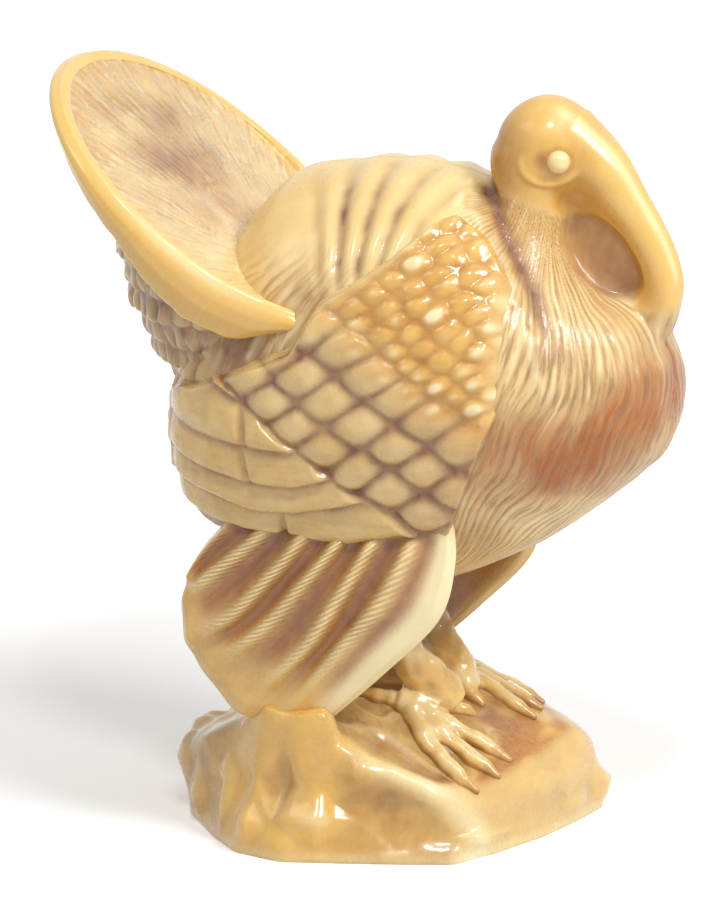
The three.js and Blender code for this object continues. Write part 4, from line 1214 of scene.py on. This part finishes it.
tip_waves = 0.35 * np.cos(2 * np.pi * from_quill) * tips * ease(across_share, 0.95, 0.8)
barbs = np.sin(2 * np.pi * (leaf_run + barb_slant * from_quill) / barb_pitch)
barb_form = barbs * ridge_form ** 1.2
for side, side_name in ((-1, "right"), (1, "left")):
    flat = np.stack([leaf_x, side * leaf_outer + 0 * leaf_x, leaf_z], axis=-1).reshape(-1, 3)
    lumps = 0.2 * drift(flat, 3.5).reshape(leaf_x.shape)
    specks = drift(flat, 1.4).reshape(leaf_x.shape)
    edge_round = ease(u_place, -0.02, 0.16) * ease(last_quill - u_place, -0.02, 0.16)
    edge_round *= ease(v_place, 1.01, 0.955)
    depth = leaf_outer * leaf_out + camber + lumps + quill_ridge * ridge_form - channel_depth * channel
    depth += tip_waves + barb_depth * barb_form - 0.35
    back = leaf_outer * leaf_out + camber - leaf_thickness
    middle = (depth + back) / 2
    outer = np.stack([leaf_x, side * (middle + (depth - middle) * edge_round), leaf_z], axis=-1)
    inner = np.stack([leaf_x, side * (middle + (back - middle) * edge_round), leaf_z], axis=-1)
    leaf = piece_from(side_name + "_primaries_form", *slab(outer, inner))
    streak = drift(np.stack([leaf_run * 0.12, u_place * 2.2, 0 * u_place], axis=-1).reshape(-1, 3), 0.5)
    streak = streak.reshape(channel.shape)
    front_stain = channel * (0.78 + 0.15 * streak) + 0.25 * ridge_form * (1 - ease(barb_form, -0.2, 0.6))
    # A painted shadow along the top of the leaf under the wing's lower edge.
    front_stain = np.maximum(front_stain, 0.9 * ease(leaf_z, 32.0, 33.4) * ease(leaf_x, 10, 8))
    front_stain *= 1 - 0.5 * ease(v_place, 0.6, 0.8) + 0.1 * specks
    front_stain = np.maximum(front_stain, 0.22 * tips * ease(across_share, 0.9, 0.5) + 0.1 * specks)
    margin = ease(across_share, 0.88, 0.95)
    outline = np.maximum(ease(across_share, 0.93, 0.99), ease(v_place, 0.93, 0.99))
    washes = {
        "stain": [front_stain * (1 - 0.9 * margin), 0.32 - 0.32 * outline],
        "honey": [0.15 + 0.55 * tips * (1 - margin), 0.6 + 0.2 * outline],
        "blush": [0.95 * channel + 0.12 * tips, 0.58 - 0.5 * outline],
        "strand": [0.7 * channel, np.full_like(channel, 0.5)],
        "pale": [0.26 * ease(barb_form, 0.1, 0.8) + 0.75 * margin * ease(v_place, 1.0, 0.8), 0.3 * outline],
    }
    for name, (front, rear) in washes.items():
        washes[name] = np.concatenate([front.ravel(), rear.ravel()])
    grain = np.stack([leaf_run, u_place * 4, 0 * u_place], axis=-1).reshape(-1, 3)
    painted(leaf, grain=np.vstack([grain, grain]), **washes)
    leaf.data.materials.append(leaf_finish)
    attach(leaf, "root")
    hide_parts(side_name + "_primaries")

# Tail coverts: the stepped mass of short brown feathers behind the fan, cast
# apart and pinned to the rump.
covert_bottom = 43.5
covert_height = 21.5
covert_rear = -28.6
covert_depth = 14.0
covert_half_width = 14.5
# Shares of the height, of the reach to the rear and of the half width.
covert_shares = [
    (0.00, 0.58, 0.55), (0.14, 0.72, 0.72), (0.17, 0.79, 0.78), (0.36, 0.90, 0.90), (0.40, 0.96, 0.95),
    (0.62, 1.02, 1.00), (0.66, 1.07, 1.04), (0.88, 1.04, 0.98), (1.00, 0.92, 0.70),
]
covert_sides = 260
covert_rows = 110
covert_feather_length = 2.7
covert_feathers_per_turn = 6.5
covert_feather_depth = 0.55
covert_steps = np.linspace(0, 1, covert_rows)
covert_reach, covert_width = straight(covert_shares, covert_steps)[:, :, None]
covert_turns = np.linspace(0, 2 * np.pi, covert_sides, endpoint=False)
covert_front = covert_rear + covert_depth
covert_rings = np.stack([
    covert_front - covert_depth * covert_reach * np.cos(covert_turns),
    covert_half_width * covert_width * np.sin(covert_turns),
    covert_bottom + covert_height * covert_steps[:, None] + 0 * covert_turns], axis=-1)
# The fan's place, which the coverts stay behind.
fan_middle = np.array((-20.1, 0, 63.8))
fan_lean = math.radians(40.3)
fan_up = np.array((-math.cos(fan_lean), 0, math.sin(fan_lean)))
fan_out = np.array((math.sin(fan_lean), 0, math.cos(fan_lean)))
covert_behind = 1.6
past_fan = np.maximum((covert_rings - fan_middle) @ fan_out + covert_behind, 0)
covert_rings -= past_fan[..., None] * fan_out
coverts = piece_from("tail_coverts_form", *shell(covert_rings))
places = points_of(coverts)
row_place = (places[:, 2] - covert_bottom) / covert_feather_length + 0.15 * drift(places, 4.0)
ring_turn = np.arctan2(places[:, 1], covert_front - places[:, 0])
tuft_form = short_feathers(ring_turn * covert_feathers_per_turn + 0.25 * drift(places, 2.5), row_place)
lumps = covert_feather_depth * tuft_form + 0.25 * drift(places, 1.3) + 0.25 * drift(places, 3.5) - 0.5
off_fan = (places - fan_middle) @ fan_out
on_rear = ease(places[:, 0], covert_front + 2, covert_front - 1)
on_rear *= ease(off_fan, -covert_behind - 0.2, -covert_behind - 1.5)
reshape(coverts, places + normals_of(coverts) * (lumps * on_rear)[:, None])
painted(coverts,
        stain=0.58 + 0.35 * (1 - tuft_form) + 0.15 * drift(places, 3.0)
        + 0.35 * ease(off_fan, -5.0, -2.5),
        honey=0.3, blush=0.1, strand=1, pale=0.2 * tuft_form,
        grain=np.stack([places[:, 2], ring_turn * 14, 0 * lumps], axis=1))
coverts.data.materials.append(moulding("stained_covert_moulding", strand_width=0.45, strand_depth=0.1))
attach(coverts, "root")
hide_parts("tail_coverts")

# Tail fan: a dished disc with a smooth honey rim and finely hatched face, cast
# apart and set into the rump by a tongue behind its lower edge.
fan_radius = 19.8
fan_thickness = 3.0
fan_hub = 6.4
fan_rim = 1.9
fan_recess = 0.5
fan_sides = 420
fan_face_rows = 60
fan_rim_rows = 70
fan_back_rows = 40
# Shares of the half turn from the top down, the rim's reach, its curl and the back's swell.
fan_rim_shares = [
    (0.00, 0.970, 0.00, -0.60), (0.30, 0.985, 0.00, -0.30), (0.50, 0.995, 0.00, 0.20),
    (0.58, 1.010, 0.00, 0.60), (0.66, 1.06, 0.02, 0.85), (0.73, 1.12, 0.07, 0.80),
    (0.78, 1.20, 0.13, 0.40), (1.00, 1.16, 0.12, 0.40),
]
# Round the rim from the face to the back: pull in, level out of the face, and
# how far each row takes part in the swell of the back.
fan_profile = [
    (0, -fan_radius, -fan_recess, 0), (1, -fan_rim, -fan_recess, 0),
    (1.15, -0.95 * fan_rim, 0.3 * fan_recess, 0),
    (1.35, -0.75 * fan_rim, 0.9 * fan_recess, 0), (1.6, -0.45 * fan_rim, 0.6 * fan_recess, 0),
    (1.9, -0.18 * fan_rim, -0.13 * fan_thickness, 0.05), (2.2, -0.02 * fan_rim, -0.32 * fan_thickness, 0.2),
    (2.6, 0, -0.58 * fan_thickness, 0.5), (3.2, -0.9, -fan_thickness, 0.9),
    (3.8, -4.5, -1.3 * fan_thickness, 1), (5, -fan_radius, -fan_hub, 1),
]
fan_steps = np.concatenate([
    np.linspace(0.03, 1, fan_face_rows), np.linspace(1.02, 3.8, fan_rim_rows),
    np.linspace(3.83, 4.97, fan_back_rows)])
fan_turns = np.linspace(0, 2 * np.pi, fan_sides, endpoint=False)
turn_share = np.minimum(fan_turns, 2 * np.pi - fan_turns) / np.pi
rim_reach, rim_curl, rim_swell = straight(fan_rim_shares, turn_share)
fan_columns = straight(fan_profile, fan_steps).T
rim_rows = slice(fan_face_rows, fan_face_rows + fan_rim_rows - 1)
fan_columns[rim_rows] = smoothed(fan_columns[rim_rows], 5)
pull, level, depth = fan_columns.T[:, :, None]
rim = fan_radius * rim_reach
reach = np.where(pull < -fan_rim, rim * (fan_radius + pull) / fan_radius + 0 * rim, rim + pull)
reach = np.maximum(reach, 0.02)
# The rim stands up from the face most of all low down, and thins where it meets the back.
rim_raise = 0.15 + 0.85 * ease(turn_share, 0.35, 0.6)
level = np.where(fan_steps[:, None] < 1.75, level * rim_raise, level)
rim_thin = 1 - 0.65 * ease(turn_share, 0.73, 0.785) * ease(turn_share, 0.88, 0.82)
level = np.where((level < 0) & (pull > -2 * fan_rim), level * rim_thin, level)
level = level + fan_radius * rim_curl * (reach / rim) ** 2 - fan_thickness * depth * rim_swell
fan_rings = (fan_middle + (reach * np.cos(fan_turns))[..., None] * fan_up
             + (reach * np.sin(fan_turns))[..., None] * (0, 1, 0) + level[..., None] * fan_out)
fan = piece_from("tail_fan_form", *shell(fan_rings))
places = points_of(fan)
up_place = (places - fan_middle) @ fan_up
side_place = places[:, 1]
radial = np.hypot(up_place, side_place)
steps_of = np.append(np.repeat(fan_steps, fan_sides), [0, 5])
on_face = ease(steps_of, 1.15, 1.0)
on_back = ease(steps_of, 3.0, 3.6)
# Fine barbs on the face and broad ribs on the back spread from a root low on the fan.
fan_root = -15.0
barb_width = 1.05
barb_cut = 0.16
rib_width = 2.4
rib_cut = 0.4
hair_turn = np.arctan2(side_place, up_place - fan_root)
hair_run = np.hypot(side_place, up_place - fan_root)
hair_place = hair_turn * 22 + 0.5 * drift(places, 5.0) + 0.25 * drift(places, 1.8)
hair_share = np.abs(np.sin(np.pi * hair_place / barb_width))
hair_spot = np.stack([hair_run * 0.45, hair_place, 0 * hair_run], axis=1)
hair_tuft = np.clip(0.55 + 0.75 * drift(hair_spot, 1.3), 0, 1)
hair_form = (hair_share ** 0.7 - 1) * hair_tuft
back_share = np.abs(np.sin(np.pi * hair_place / rib_width))
relief = on_face * (barb_cut * hair_form + 0.14 * drift(places, 2.5))
relief += on_back * rib_cut * (back_share ** 0.6 - 1)
reshape(fan, places + normals_of(fan) * relief[:, None])
mauve = np.exp(-((up_place - 4.5) / 10) ** 2 - ((side_place + 1) / 11) ** 2)
mauve *= 0.75 + 0.6 * drift(places, 3.0)
upper = ease(up_place, 4, 12)
near_rim = ease(radial, 14, 17.5)
on_rim = (1 - on_face) * (1 - on_back)
# A painted highlight along the roll of the lower rim.
rim_highlight = mound(np.stack([steps_of, up_place], axis=1), (1.7, -6), (0.22, 9))
pale_hair = hair_share * hair_tuft * ease(drift(places, 0.8), 0.1, 0.5)
painted(fan,
        stain=on_face * (0.6 * mauve + 0.16 * (1 - hair_share) * hair_tuft)
        + 0.5 * on_back * (1 - back_share),
        honey=(1 - on_face) * (0.9 - 0.4 * on_back) + on_face * (0.3 * near_rim + 0.2 * upper),
        blush=on_rim * (0.04 + 0.14 * ease(steps_of, 1.9, 2.3)) * ease(up_place, 10, -2)
        + on_face * (0.42 * mauve + 0.2 * near_rim * upper),
        strand=0.55 * on_face + 0.5 * on_back,
        pale=0.6 * rim_highlight + 0.5 * on_face * pale_hair * (1 - 0.6 * mauve),
        grain=np.stack([hair_run, hair_place, 0 * hair_run], axis=1))
fan.data.materials.append(moulding("honey_fan_moulding", strand_width=0.35, strand_depth=0.06))
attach(fan, "root")
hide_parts("tail_fan")

# Eyes: pale polished beads, moulded apart and pressed into the two sides of
# the head.
eye_radius = 1.15
eye_finish = moulding("pale_bead", mottle=0.1, gloss=0.14)
bead_turns = np.linspace(0.03, np.pi - 0.03, 30)[:, None]
bead_rounds = np.linspace(0, 2 * np.pi, 48, endpoint=False)
bead = np.stack([np.sin(bead_turns) * np.cos(bead_rounds), np.cos(bead_turns) + 0 * bead_rounds,
                 np.sin(bead_turns) * np.sin(bead_rounds)], axis=-1)
for side, side_name in ((-1, "right"), (1, "left")):
    eye = piece_from(side_name + "_eye_form", *shell(eye_place * (1, side, 1) + eye_radius * bead))
    painted(eye, stain=0, honey=0.4, blush=0, pale=0.35, grain=points_of(eye))
    eye.data.materials.append(eye_finish)
    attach(eye, "root")
    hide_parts(side_name + "_eye")
